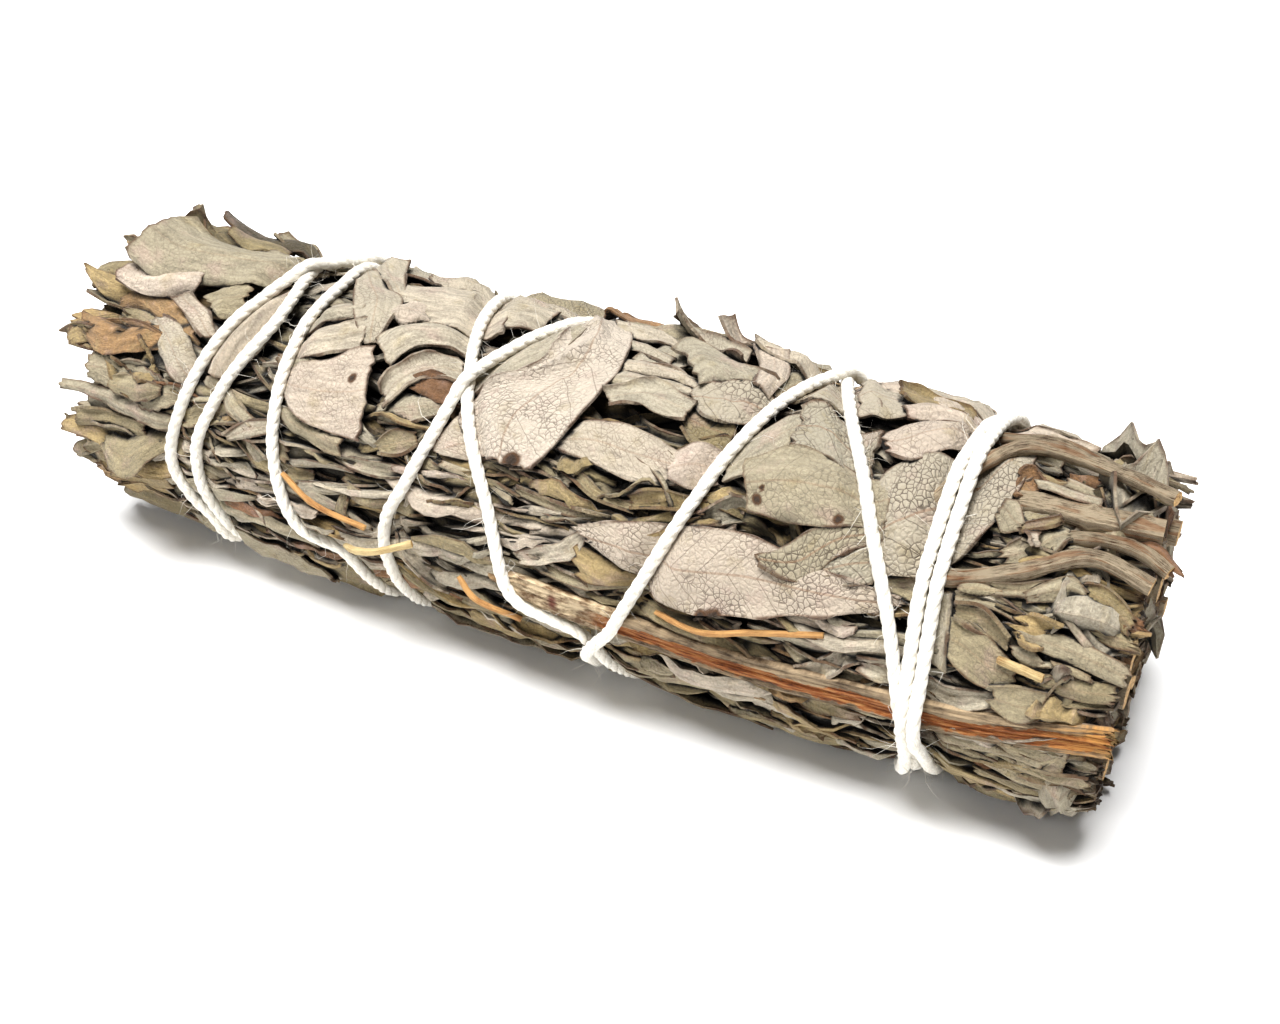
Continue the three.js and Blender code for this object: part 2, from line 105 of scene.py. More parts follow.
def tint(red, green, blue):
    # from the 0 to 255 values of a colour chip to what a shader takes
    return tuple(((c / 255 + 0.055) / 1.055) ** 2.4 for c in (red, green, blue)) + (1.0,)


# Small helpers that make nodes, the same for shader and geometry trees
def plug(tree, value, socket):
    if isinstance(value, bpy.types.NodeSocket):
        tree.links.new(value, socket)
    else:
        socket.default_value = value


def addNode(tree, kind, inputs=None, **settings):
    made = tree.nodes.new(kind)
    for name, value in settings.items():
        setattr(made, name, value)
    for name, value in (inputs or {}).items():
        plug(tree, value, made.inputs[name])
    return made


def nodeOut(tree, kind, inputs=None, **settings):
    return addNode(tree, kind, inputs, **settings).outputs[0]


def calc(tree, operation, *values):
    made = addNode(tree, "ShaderNodeMath", operation=operation)
    for place, value in enumerate(values):
        plug(tree, value, made.inputs[place])
    return made.outputs[0]


def times(tree, *values):
    return calc(tree, "MULTIPLY", *values)


def plus(tree, *values):
    return calc(tree, "ADD", *values)


def minus(tree, *values):
    return calc(tree, "SUBTRACT", *values)


def vectorCalc(tree, operation, *values):
    made = addNode(tree, "ShaderNodeVectorMath", operation=operation)
    for place, value in enumerate(values):
        plug(tree, value, made.inputs["Scale" if operation == "SCALE" and place == 1 else place])
    return made.outputs[0]


def combine(tree, *axes):
    return nodeOut(tree, "ShaderNodeCombineXYZ", dict(enumerate(axes)))


def axesOf(tree, vector):
    return addNode(tree, "ShaderNodeSeparateXYZ", {0: vector}).outputs


def ringWay(tree, turn, along, radius):
    # a place on a long tube, so that a pattern runs round it without a seam
    y, z = (times(tree, calc(tree, side, turn), radius) for side in ("COSINE", "SINE"))
    return combine(tree, along, y, z)


def ranged(tree, value, low, high, toLow=0.0, toHigh=1.0):
    # value from low..high to toLow..toHigh, eased at both ends
    made = addNode(tree, "ShaderNodeMapRange", interpolation_type="SMOOTHSTEP")
    for place, given in enumerate((value, low, high, toLow, toHigh)):
        plug(tree, given, made.inputs[place])
    return made.outputs[0]


def noiseOf(tree, vector, scale, detail=3.0, roughness=0.5):
    inputs = {"Vector": vector, "Scale": scale, "Detail": detail, "Roughness": roughness}
    return nodeOut(tree, "ShaderNodeTexNoise", inputs)


def newTree(name, sockets):
    tree = bpy.data.node_groups.new(name, "GeometryNodeTree")
    tree.interface.new_socket("Geometry", in_out="INPUT", socket_type="NodeSocketGeometry")
    tree.interface.new_socket("Geometry", in_out="OUTPUT", socket_type="NodeSocketGeometry")
    for label, kind, value in sockets:
        made = tree.interface.new_socket(label, in_out="INPUT", socket_type="NodeSocket" + kind)
        if value is not None:
            made.default_value = value
    given = addNode(tree, "NodeGroupInput")
    result = addNode(tree, "NodeGroupOutput")
    return tree, given.outputs, result.inputs[0]


def named(tree, name, kind="FLOAT"):
    return nodeOut(tree, "GeometryNodeInputNamedAttribute", {"Name": name}, data_type=kind)


def store(tree, geometry, name, value):
    inputs = {"Geometry": geometry, "Name": name, "Value": value}
    return nodeOut(tree, "GeometryNodeStoreNamedAttribute", inputs, data_type="FLOAT")


def positionOf(tree):
    return nodeOut(tree, "GeometryNodeInputPosition")


def instances(tree, points, collection, picked, pose, size):
    # one of the collection's shapes at each point, made real
    shapes = nodeOut(tree, "GeometryNodeCollectionInfo", {0: collection, 1: True, 2: True})
    placed = nodeOut(tree, "GeometryNodeInstanceOnPoints", {
        "Points": points,
        "Instance": shapes,
        "Pick Instance": True,
        "Instance Index": picked,
        "Rotation": pose,
        "Scale": size,
    })
    return nodeOut(tree, "GeometryNodeRealizeInstances", {"Geometry": placed})


def endTree(tree, geometry, material, result):
    realized = nodeOut(tree, "GeometryNodeRealizeInstances", {"Geometry": geometry})
    inputs = {"Geometry": realized, "Material": material}
    tree.links.new(nodeOut(tree, "GeometryNodeSetMaterial", inputs), result)


def ringFaces(rows, columns):
    # quads between the rings of a tube: ring i holds the points i * columns and on
    def corner(i, j):
        return i * columns + j % columns
    return [
        [corner(i, j), corner(i, j + 1), corner(i + 1, j + 1), corner(i + 1, j)]
        for i in range(rows) for j in range(columns)
    ]


def chainEdges(count, start=0):
    return [(start + i, start + i + 1) for i in range(count - 1)]


def meshObject(name, points, faces=(), edges=(), values=None, uv=None):
    mesh = bpy.data.meshes.new(name)
    mesh.from_pydata([tuple(p) for p in points], list(edges), [list(f) for f in faces])
    for label, (kind, given) in (values or {}).items():
        field = "vector" if kind == "FLOAT_VECTOR" else "value"
        data = np.asarray(given, int if kind == "INT" else float).ravel()
        mesh.attributes.new(label, kind, "POINT").data.foreach_set(field, data)
    if uv is not None:
        corners = np.zeros(len(mesh.loops), int)
        mesh.loops.foreach_get("vertex_index", corners)
        mesh.uv_layers.new(name="leafMap").data.foreach_set("uv", np.asarray(uv, float)[corners].ravel())
    made = bpy.data.objects.new(name, mesh)
    bpy.context.scene.collection.objects.link(made)
    return made


def moveTo(obj, collection):
    bpy.context.scene.collection.objects.unlink(obj)
    collection.objects.link(obj)


def addTree(obj, tree, inputs):
    modifier = obj.modifiers.new(tree.name, "NODES")
    modifier.node_group = tree
    for item in tree.interface.items_tree:
        if item.item_type == "SOCKET" and item.in_out == "INPUT" and item.name in inputs:
            modifier[item.identifier] = inputs[item.name]


def settle(obj, sharpest=50):
    # the evaluated shape as a plain mesh, with the modifiers gone
    graph = bpy.context.evaluated_depsgraph_get()
    shape = obj.evaluated_get(graph)
    mesh = bpy.data.meshes.new_from_object(shape, preserve_all_data_layers=True, depsgraph=graph)
    obj.modifiers.clear()
    obj.data = mesh
    mesh.name = obj.name
    mesh.polygons.foreach_set("use_smooth", [True] * len(mesh.polygons))
    mesh.set_sharp_from_angle(angle=math.radians(sharpest))
    return obj


def stands(obj, slot, *nodes):
    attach(obj, "root")
    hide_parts(*nodes)
    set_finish(obj, slot)
    return obj


# Finishes
def newMaterial(name):
    material = bpy.data.materials.new(name)
    material.use_nodes = True
    tree = material.node_tree
    return material, tree, tree.nodes["Principled BSDF"].inputs


def objectPlace(tree):
    # object coordinates in mm
    return vectorCalc(tree, "SCALE", addNode(tree, "ShaderNodeTexCoord").outputs["Object"], 1000.0)


def attribute(tree, name):
    return addNode(tree, "ShaderNodeAttribute", attribute_name=name).outputs["Fac"]


def ramp(tree, factor, stops):
    made = addNode(tree, "ShaderNodeValToRGB", {"Fac": factor})
    elements = made.color_ramp.elements
    while len(elements) < len(stops):
        elements.new(0.5)
    for element, (place, colour) in zip(elements, stops):
        element.position = place
        element.color = colour
    return made.outputs[0]


def blend(tree, factor, first, second, how="MIX"):
    made = addNode(tree, "ShaderNodeMix", data_type="RGBA", blend_type=how)
    plug(tree, factor, made.inputs[0])
    plug(tree, first, made.inputs[6])
    plug(tree, second, made.inputs[7])
    return made.outputs[2]


def bump(tree, height, distance):
    # distance in mm
    return nodeOut(tree, "ShaderNodeBump", {"Height": height, "Distance": distance * 0.001})


leafFinish = {
    # leaf colours, from the palest to the darkest: a leaf's own tone says where on this scale it is
    "tones": [
        (0.0, tint(214, 203, 186)), (0.12, tint(200, 184, 167)), (0.24, tint(192, 180, 160)),
        (0.38, tint(176, 167, 147)), (0.5, tint(164, 152, 124)), (0.62, tint(140, 126, 92)),
        (0.74, tint(182, 158, 112)), (0.82, tint(140, 100, 68)), (0.92, tint(88, 80, 62)),
        (1.0, tint(56, 44, 34)),
    ],
    "pinkBlush": tint(182, 156, 144),
    "oliveBlush": tint(152, 136, 98),
    "veinColour": tint(62, 47, 34),
    "midribColour": tint(146, 112, 84),
    "rimColour": tint(92, 64, 40),
    "toneOffset": 90.0,  # how far apart on the noise two leaves of different tones are
    "netSize": 0.6,  # across one cell of the vein net
    "netWarp": 0.55,
    "netLine": (0.015, 0.1),  # distances from a cell's edge where the vein's line is full and gone
    "sideVeinSpacing": 3.0,
    "sideVeinSlant": 0.9,
    "sideVeinLine": (0.005, 0.03),
    "midribLine": (0.06, 0.16),
    "sideVeinStrength": 0.8,
    "veinStrength": 0.8,
    "wrinkleStretch": (0.3, 1.5, 1.0),
    "rimWidth": (0.02, 0.32),
    "deepest": -2.4,  # painted shade: a leaf this far down in the bunch is painted dark
    "deepestPaintedShade": 0.3,
    "paintedShadeFade": (0.22, 0.8),  # how shut in a place is where painted shade starts to darken it, and where it is full
    "paintedCreviceShade": 0.06,
    "relief": 0.42,
    "roughness": 0.86,
}
middleGrey = (0.5, 0.5, 0.5, 1.0)


def leafVeins(tree, own, uv, net):
    # the vein net with its side veins, the midrib, and how a cell bulges between its veins
    wander = addNode(tree, "ShaderNodeTexNoise", {"Vector": own, "Scale": 0.5, "Detail": 1.0}).outputs[1]
    warped = vectorCalc(tree, "ADD", own, vectorCalc(tree, "SCALE", wander, leafFinish["netWarp"]))
    inputs = {"Vector": warped, "Scale": 1 / leafFinish["netSize"]}
    fromEdge = addNode(tree, "ShaderNodeTexVoronoi", inputs, feature="DISTANCE_TO_EDGE").outputs["Distance"]
    fineNet = ranged(tree, fromEdge, *leafFinish["netLine"], 1.0, 0.0)
    aside = calc(tree, "ABSOLUTE", axesOf(tree, uv)[1])
    slant = minus(tree, axesOf(tree, warped)[0], times(tree, aside, leafFinish["sideVeinSlant"]))
    turns = calc(tree, "FRACT", calc(tree, "DIVIDE", slant, leafFinish["sideVeinSpacing"]))
    fromVein = calc(tree, "ABSOLUTE", minus(tree, turns, 0.5))
    sideVein = ranged(tree, fromVein, *leafFinish["sideVeinLine"], leafFinish["sideVeinStrength"], 0.0)
    fading = ranged(tree, noiseOf(tree, own, 0.22, 2.0), 0.4, 0.6, 0.12, 1.0)
    veins = times(tree, calc(tree, "MAXIMUM", times(tree, fineNet, fading), sideVein), net)
    midrib = times(tree, ranged(tree, aside, *leafFinish["midribLine"], 1.0, 0.0), net)
    pillow = times(tree, ranged(tree, fromEdge, 0.0, 0.3), net)
    return veins, midrib, pillow


def leafMottleAndPaintedShade(tree, grain, wrinkles, net):
    # how light a place is: its own mottle from grain and wrinkles, times painted shade for how deep it lies
    # and how shut in it is
    speckle = blend(tree, times(tree, net, 0.8), grain, middleGrey)
    mottle = ranged(tree, speckle, 0.28, 0.74, 0.72, 1.2)
    mottle = times(tree, mottle, ranged(tree, wrinkles, 0.3, 0.7, 0.64, 1.18))
    deepest, deepestPaintedShade = leafFinish["deepest"], leafFinish["deepestPaintedShade"]
    depth = ranged(tree, attribute(tree, "depth"), deepest, -0.2, deepestPaintedShade, 1.0)
    # painted shade in crevices, darker the more shut in a place is
    shut, shade = attribute(tree, "crevice"), leafFinish["paintedCreviceShade"]
    crevice = ranged(tree, shut, *leafFinish["paintedShadeFade"], 1.0, shade)
    light = times(tree, times(tree, mottle, depth), crevice)
    return nodeOut(tree, "ShaderNodeCombineColor", {0: light, 1: light, 2: light})


def makeLeafMaterial():
    material, tree, shader = newMaterial("driedLeaf")
    uv = nodeOut(tree, "ShaderNodeUVMap", uv_map="leafMap")
    tone, net, rim, spot = (attribute(tree, name) for name in ("tone", "net", "rim", "spot"))
    offset = times(tree, tone, leafFinish["toneOffset"])
    own = vectorCalc(tree, "ADD", uv, combine(tree, offset, offset))
    veins, midrib, pillow = leafVeins(tree, own, uv, net)
    grain = noiseOf(tree, objectPlace(tree), 3.4, 4.0, 0.75)
    patches = noiseOf(tree, own, 0.28, 3.0, 0.6)
    wrinkles = noiseOf(tree, vectorCalc(tree, "MULTIPLY", own, leafFinish["wrinkleStretch"]), 1.0, 3.0, 0.65)
    wrinkles = blend(tree, times(tree, net, 1.2), wrinkles, middleGrey)
    rimFade = ranged(tree, rim, *leafFinish["rimWidth"], 1.0, 0.0)
    rimFade = times(tree, rimFade, ranged(tree, patches, 0.38, 0.6, 0.25, 0.85))

    colour = ramp(tree, tone, leafFinish["tones"])
    for share, name in (
        (ranged(tree, patches, 0.52, 0.74, 0.0, 0.45), "pinkBlush"),
        (ranged(tree, patches, 0.46, 0.24, 0.0, 0.5), "oliveBlush"),
        (times(tree, veins, leafFinish["veinStrength"]), "veinColour"),
        (times(tree, midrib, 0.5), "midribColour"),
        (rimFade, "rimColour"),
        (ranged(tree, grain, 0.7, 0.78, 0.0, 0.5), "rimColour"),
        (ranged(tree, spot, 0.15, 0.5), "rimColour"),
        (ranged(tree, spot, 0.5, 0.7), "veinColour"),
    ):
        colour = blend(tree, share, colour, leafFinish[name])
    # the mottle and the painted shade of deep and shut-in places, multiplied into the colour
    colour = blend(tree, 1.0, colour, leafMottleAndPaintedShade(tree, grain, wrinkles, net), "MULTIPLY")

    height = plus(tree, plus(tree, times(tree, grain, 0.8), times(tree, pillow, 0.3)), wrinkles)
    plug(tree, colour, shader["Base Color"])
    plug(tree, bump(tree, height, leafFinish["relief"]), shader["Normal"])
    shader["Roughness"].default_value = leafFinish["roughness"]
    shader["Specular IOR Level"].default_value = 0.25
    shader["Sheen Weight"].default_value = 0.12
    shader["Sheen Roughness"].default_value = 0.6
    return material


packedCore = {
    "from": -46,
    "to": 62.8,
    "below": 3.6,  # under the girth
    "rows": 80,
    "columns": 80,
    "closingRows": 7,  # over which its tip end rounds off
    # colour of the core among the leaves: near black, painted shade of the gaps between them
    "dark": [(0.35, tint(8, 6, 5)), (0.6, tint(22, 17, 12)), (0.8, tint(46, 38, 28))],
    "cut": [(0.4, tint(46, 37, 27)), (0.55, tint(104, 88, 64)), (0.66, tint(150, 134, 104))],
}


def makeCoreMaterial():
    material, tree, shader = newMaterial("packedLeaf")
    place = objectPlace(tree)
    crumbs = noiseOf(tree, vectorCalc(tree, "MULTIPLY", place, (0.35, 1.0, 1.0)), 0.9, 5.0, 0.65)
    # dark is painted shade of the gaps among the leaves, cut the packed leaves' own colour at the cut end
    dark, cut = (ramp(tree, crumbs, packedCore[name]) for name in ("dark", "cut"))
    cutFrom = packedCore["to"] + bunch["shift"][0]
    onCut = ranged(tree, axesOf(tree, place)[0], cutFrom - 0.8, cutFrom - 0.2)
    plug(tree, blend(tree, onCut, dark, cut), shader["Base Color"])
    plug(tree, bump(tree, crumbs, 0.8), shader["Normal"])
    shader["Roughness"].default_value = 0.95
    return material


stemFinish = {
    "bark": {
        "pale": tint(204, 186, 158), "dark": tint(80, 58, 42), "worn": tint(158, 106, 66), "streak": 0.22,
        "ridge": 0.4,
    },
    "grain": {"pale": tint(196, 160, 108), "dark": tint(112, 76, 46)},
    "straw": {"pale": tint(214, 192, 144), "dark": tint(152, 118, 76), "streak": 0.12, "ridge": 0.1},
    "orangeStraw": {"pale": tint(208, 162, 106), "dark": tint(138, 88, 54), "streak": 0.12, "ridge": 0.1},
}


def makeStemMaterial(name, finish):
    material, tree, shader = newMaterial(name)
    place = objectPlace(tree)
    along, around = attribute(tree, "alongStem"), attribute(tree, "roundStem")
    fibre = ringWay(tree, times(tree, around, 2 * math.pi), times(tree, along, finish["streak"]), 2.2)
    streaks = noiseOf(tree, fibre, 3.4, 6.0, 0.75)
    patches = noiseOf(tree, place, 0.45, 4.0, 0.6)
    shade = plus(tree, times(tree, streaks, 0.65), times(tree, patches, 0.35))
    colour = ramp(tree, shade, [(0.38, finish["dark"]), (0.53, finish["pale"])])
    if "worn" in finish:
        wear = noiseOf(tree, vectorCalc(tree, "ADD", fibre, (9.0, 4.0, 2.0)), 0.9, 3.0)
        colour = blend(tree, ranged(tree, wear, 0.52, 0.66, 0.0, 0.6), colour, finish["worn"])
    plug(tree, colour, shader["Base Color"])
    plug(tree, bump(tree, streaks, finish["ridge"] * 2), shader["Normal"])
    shader["Roughness"].default_value = 0.78
    shader["Specular IOR Level"].default_value = 0.3
    return material


def makeGrainMaterial():
    material, tree, shader = newMaterial("cutGrain")
    place = objectPlace(tree)
    inputs = {"Vector": vectorCalc(tree, "MULTIPLY", place, (0.3, 1.0, 1.0)), "Scale": 3.4}
    pores = addNode(tree, "ShaderNodeTexVoronoi", inputs).outputs["Distance"]
    grain = stemFinish["grain"]
    plug(tree, ramp(tree, pores, [(0.1, grain["dark"]), (0.5, grain["pale"])]), shader["Base Color"])
    plug(tree, bump(tree, pores, 0.25), shader["Normal"])
    shader["Roughness"].default_value = 0.85
    return material


def makeTwineMaterial():
    material, tree, shader = newMaterial("cottonTwine")
    along, around = attribute(tree, "alongStrand"), attribute(tree, "roundStrand")
    slope = plus(tree, times(tree, around, 6.0), times(tree, along, 1.4))
    fibre = combine(tree, slope, times(tree, along, 0.25))
    fibres = noiseOf(tree, fibre, 2.6, 4.0, 0.7)
    place = objectPlace(tree)
    soil = ranged(tree, noiseOf(tree, place, 0.12, 3.0), 0.55, 0.8, 0.0, 0.3)
    colour = ramp(tree, fibres, [(0.25, tint(200, 191, 174)), (0.6, tint(238, 234, 224))])
    plug(tree, blend(tree, soil, colour, tint(226, 214, 190)), shader["Base Color"])
    height = plus(tree, fibres, noiseOf(tree, place, 5.0, 3.0))
    plug(tree, bump(tree, height, 0.1), shader["Normal"])
    shader["Roughness"].default_value = 0.95
    shader["Specular IOR Level"].default_value = 0.15
    shader["Sheen Weight"].default_value = 0.4
    return material


leafMaterial = makeLeafMaterial()
coreMaterial = makeCoreMaterial()
barkMaterial = makeStemMaterial("stemBark", stemFinish["bark"])
strawMaterial = makeStemMaterial("dryStraw", stemFinish["straw"])
orangeStrawMaterial = makeStemMaterial("orangeStraw", stemFinish["orangeStraw"])
grainMaterial = makeGrainMaterial()
twineMaterial = makeTwineMaterial()
print("finishes made")


# The twine's way: x, and the angle as it winds from the knot to the leaf tips and back over itself
twine = {
    "way": [
        (47.2, 250), (46, 215), (45.6, 180), (46.6, 145), (47.3, 105), (44.3, 70), (38.6, 33),
        (30.6, -16), (25, -80), (19.5, -150), (14.4, -220), (13.0, -240), (11.9, -254), (4.3, -266),
        (-0.4, -296), (-6, -330), (-10.4, -373), (-13, -440), (-15.5, -540), (-17.7, -606),
        (-24.5, -621), (-27.1, -651), (-28, -690), (-28.6, -728), (-31, -800), (-34.6, -900),
        (-36.6, -961), (-37.8, -994), (-35.2, -1024), (-31.6, -1058), (-32.8, -1085), (-37, -1150),
        (-38.6, -1240), (-37.4, -1312), (-40.4, -1333), (-41.6, -1350), (-40, -1376), (-36.2, -1416),
        (-30.6, -1462), (-26, -1510), (-17, -1545), (-12.6, -1580), (-11.6, -1620), (-12.2, -1670),
        (-12.4, -1710), (-9.5, -1735), (-5.2, -1780), (-0.5, -1816), (4.5, -1880), (8, -1970),
        (11.3, -2040), (16.2, -2068), (21.5, -2110), (27.4, -2173), (35, -2240), (39.8, -2305),
        (42.2, -2340), (44.8, -2375), (47.3, -2415), (45.8, -2470), (45.6, -2527), (46.2, -2600),
        (48.2, -2665), (47.9, -2700), (48.6, -2735), (48.7, -2775), (47.3, -2830), (46.9, -2887),
        (47.2, -2990),
    ],
    "radius": 0.72,
    "plyRadius": 0.52,
    "plyOffset": 0.2,
    "twistLength": 4.2,
    "sampleTurn": 3.0,  # degrees between the places where its height is felt
    "crossWidth": 1.35,  # where two strands this near each other cross, one climbs over
    "sink": 0.3,  # into the leaves it is pulled down on
    "pinchWidth": 2.6,
    "pinch": 0.7,  # share of a leaf's height taken away under the strand
}


def smoothWay(points, count):
    # a centripetal spline through the points, evenly spread along its own length
    p = np.asarray(points, float)
    p = np.vstack([2 * p[0] - p[1], p, 2 * p[-1] - p[-2]])
    spans = []
    for a, b, c, d in zip(p, p[1:], p[2:], p[3:]):
        t = np.linspace(0, 1, 24, endpoint=False)[:, None]
        steps = [max(np.linalg.norm(q - r), 1e-6) ** 0.5 for q, r in ((b, a), (c, b), (d, c))]
        m1 = (c - b) - steps[1] * ((c - a) / (steps[0] + steps[1]) - (b - a) / steps[0])
        m2 = (c - b) + steps[1] * ((d - c) / steps[2] - (d - b) / (steps[1] + steps[2]))
        spans.append(
            (2 * t**3 - 3 * t**2 + 1) * b + (t**3 - 2 * t**2 + t) * m1 + (3 * t**2 - 2 * t**3) * c
            + (t**3 - t**2) * m2
        )
    dense = np.vstack([*spans, p[-2][None]])
    reached = np.concatenate([[0], np.cumsum(np.linalg.norm(np.diff(dense, axis=0), axis=1))])
    wanted = np.linspace(0, reached[-1], count)
    return np.stack([np.interp(wanted, reached, column) for column in dense.T], 1)


def flatTwine():
    # the way on the flattened bunch, once for each turn that crosses the leaves' own stretch of it
    way = smoothWay([(x, flatArc(angle)) for x, angle in twine["way"]], 1400)
    around = 2 * math.pi * bunch["ringRadius"]
    points, edges = [], []
    for turn in range(-10, 3):
        before = None
        for x, y in way:
            moved = y + turn * around
            if not -140 < moved < 40:
                before = None
                continue
            points.append((x, moved, 0))
            if before is not None:
                edges.append((before, len(points) - 1))
            before = len(points) - 1
    return meshObject("flatTwine", points, edges=edges)


flatWay = flatTwine()


# How flat leaves come to lie on the bunch
wrap = {
    "end": 68.0,  # x of the first and last stations of its girth curve
    "slimmest": 12.0,  # radius at the bottom of that curve, and how far the curve reaches above it
    "range": 10.0,
    "squash": -0.88,  # share taken off what rises past the ceiling
    "pressedAbove": 0.9,  # the strand presses down what is higher than this under the leaf layer
    "pressFrom": 0.4,  # distance from the strand within which it presses fully
    "rest": [(0.42, 1.16), (0.15, 0.35)],  # slopes and heights of the lines that flatten its underside
}


def girthCurve(tree, x):
    # the girth as a curve node: x from end to end, and the radius above the slimmest as a share of the range
    end, span = wrap["end"], 2 * wrap["end"]
    curve = addNode(tree, "ShaderNodeFloatCurve", {"Value": calc(tree, "DIVIDE", plus(tree, x, end), span)})
    line = curve.mapping.curves[0].points
    stations = [(-end, bunch["girths"][0][1]), *bunch["girths"][1:-1], (end, bunch["girths"][-1][1])]
    places = [((at + end) / span, (radius - wrap["slimmest"]) / wrap["range"]) for at, radius in stations]
    for place in places[1:-1]:
        line.new(*place)
    for point, place in zip(line, places):
        point.location = place
    curve.mapping.update()
    return curve.outputs[0]


def addWrap(tree, geometry, given):
    # from flat places in mm to the bunch in metres, pressed down under the twine and where it lies
    x, y, risen = axesOf(tree, positionOf(tree))
    beyond = calc(tree, "MAXIMUM", minus(tree, risen, given["Ceiling"]), 0.0)
    height = calc(tree, "MULTIPLY_ADD", beyond, wrap["squash"], risen)
    way = addNode(tree, "GeometryNodeObjectInfo", {0: given["Twine way"]}).outputs["Geometry"]
    inputs = {"Geometry": way, "Sample Position": combine(tree, x, y)}
    near = addNode(tree, "GeometryNodeProximity", inputs, target_element="EDGES").outputs["Distance"]
    press = times(tree, ranged(tree, near, wrap["pressFrom"], given["Pinch width"], 1.0, 0.0), given["Pinch"])
    above = calc(tree, "MAXIMUM", plus(tree, height, wrap["pressedAbove"]), 0.0)
    lowered = minus(tree, height, times(tree, above, press))
    base = wrap["slimmest"] - bunch["leafLevel"]
    reach = calc(tree, "MULTIPLY_ADD", girthCurve(tree, x), wrap["range"], base)
    distance = calc(tree, "MAXIMUM", plus(tree, reach, lowered), 0.4)
    angle = calc(tree, "DIVIDE", y, bunch["ringRadius"])
    shiftX, shiftY = bunch["shift"]
    sideways = calc(tree, "MULTIPLY_ADD", distance, calc(tree, "SINE", angle), shiftY)
    up = calc(tree, "MULTIPLY_ADD", distance, calc(tree, "COSINE", angle), bunch["axisHeight"])
    for slope, lowest in wrap["rest"]:
        up = calc(tree, "MAXIMUM", up, calc(tree, "MULTIPLY_ADD", up, slope, lowest))
    onBunch = vectorCalc(tree, "SCALE", combine(tree, plus(tree, x, shiftX), sideways, up), 0.001)
    # how deep a place lies, kept for the painted shade of deep leaves
    geometry = store(tree, geometry, "depth", times(tree, height, given["Shading"]))
    return nodeOut(tree, "GeometryNodeSetPosition", {"Geometry": geometry, "Position": onBunch})


wrapSockets = [
    ("Twine way", "Object", None),
    ("Pinch width", "Float", twine["pinchWidth"]),
    ("Pinch", "Float", twine["pinch"]),
    ("Shading", "Float", 1.0),  # how much painted shade darkens the leaves that lie deep
    ("Ceiling", "Float", 8.0),  # nothing rises far above it
    ("Finish", "Material", None),
]


def makeSheetTree():
    tree, given, result = newTree("wrapSheets", wrapSockets)
    endTree(tree, addWrap(tree, given["Geometry"], given), given["Finish"], result)
    return tree


def makeLayerTree():
    # a leaf at each point: its shape, pose and size are the point's own
    tree, given, result = newTree("leafLayer", [("Leaf shapes", "Collection", None), *wrapSockets])
    picked = named(tree, "shape", "INT")
    pose, size = (named(tree, name, "FLOAT_VECTOR") for name in ("pose", "size"))
    realized = instances(tree, given["Geometry"], given["Leaf shapes"], picked, pose, size)
    endTree(tree, addWrap(tree, realized, given), given["Finish"], result)
    return tree


sheetTree = makeSheetTree()
layerTree = makeLayerTree()


# One leaf as a sheet between its back and front edges. A leaf has this unless its own entry says otherwise.
plainLeaf = {
    "faces": (24, 11),  # along it and across it
    "level": 0.3,  # height above the leaf layer
    "tone": 0.3,  # its place on the colour scale
    "net": 0.3,  # how strong its veins are
    "dome": 0.1,  # how much it arches across
    "fold": 0,  # folded along a line, which lies at foldAt of its half width
    "foldAt": 0,
    "curlBack": 0,  # how far each edge turns up, from curlFrom of its half width
    "curlFront": 0,
    "curlFrom": 0.4,
    "twist": 0,
    "lift": (0, 0),  # of its two ends
    "bulge": (0, 0),  # of its two ends, outwards
    "teeth": 0,
    "toothCount": 12,
    "ragged": 0.35,  # of its two ends
    "crumple": 0.22,
    "frill": 1.0,
    "creases": (),  # each from one place to another, share of its length and side, with a height
    "spots": (),
}
tornNoise = [(2.6, 4.0, 1.0), (7.0, 9.0, 0.6)]  # scale, place and strength of each


def acrossProfile(leaf, columns):
    across = np.linspace(-1, 1, columns * 4 + 1)
    outer = np.clip((np.abs(across) - leaf["curlFrom"]) / (1 - leaf["curlFrom"]), 0, 1) ** 1.4
    slope = -leaf["dome"] * across - leaf["fold"] * np.tanh((across - leaf["foldAt"]) / 0.12)
    slope += np.where(across > 0, leaf["curlBack"], -leaf["curlFront"]) * outer
    step = 2 / (columns * 4)
    sides = np.cumsum(np.cos(slope)) * step
    rise = np.cumsum(np.sin(slope)) * step
    sides -= sides[columns * 2]
    rise -= rise.min()
    return across[::4], sides[::4], rise[::4]


def creaseHeight(crease, along, c, length, wide):
    (a1, c1), (a2, c2), high = crease
    run = ((along - a1) * (a2 - a1) * 9 + (c - c1) * (c2 - c1)) / ((a2 - a1) ** 2 * 9 + (c2 - c1) ** 2)
    run = min(1, max(0, run))
    gap = math.hypot((along - mix(a1, a2, run)) * length, (c - mix(c1, c2, run)) * wide)
    return high * math.exp(-gap / 1.1) * math.sin(math.pi * min(1, max(0, 0.1 + 0.85 * run)))


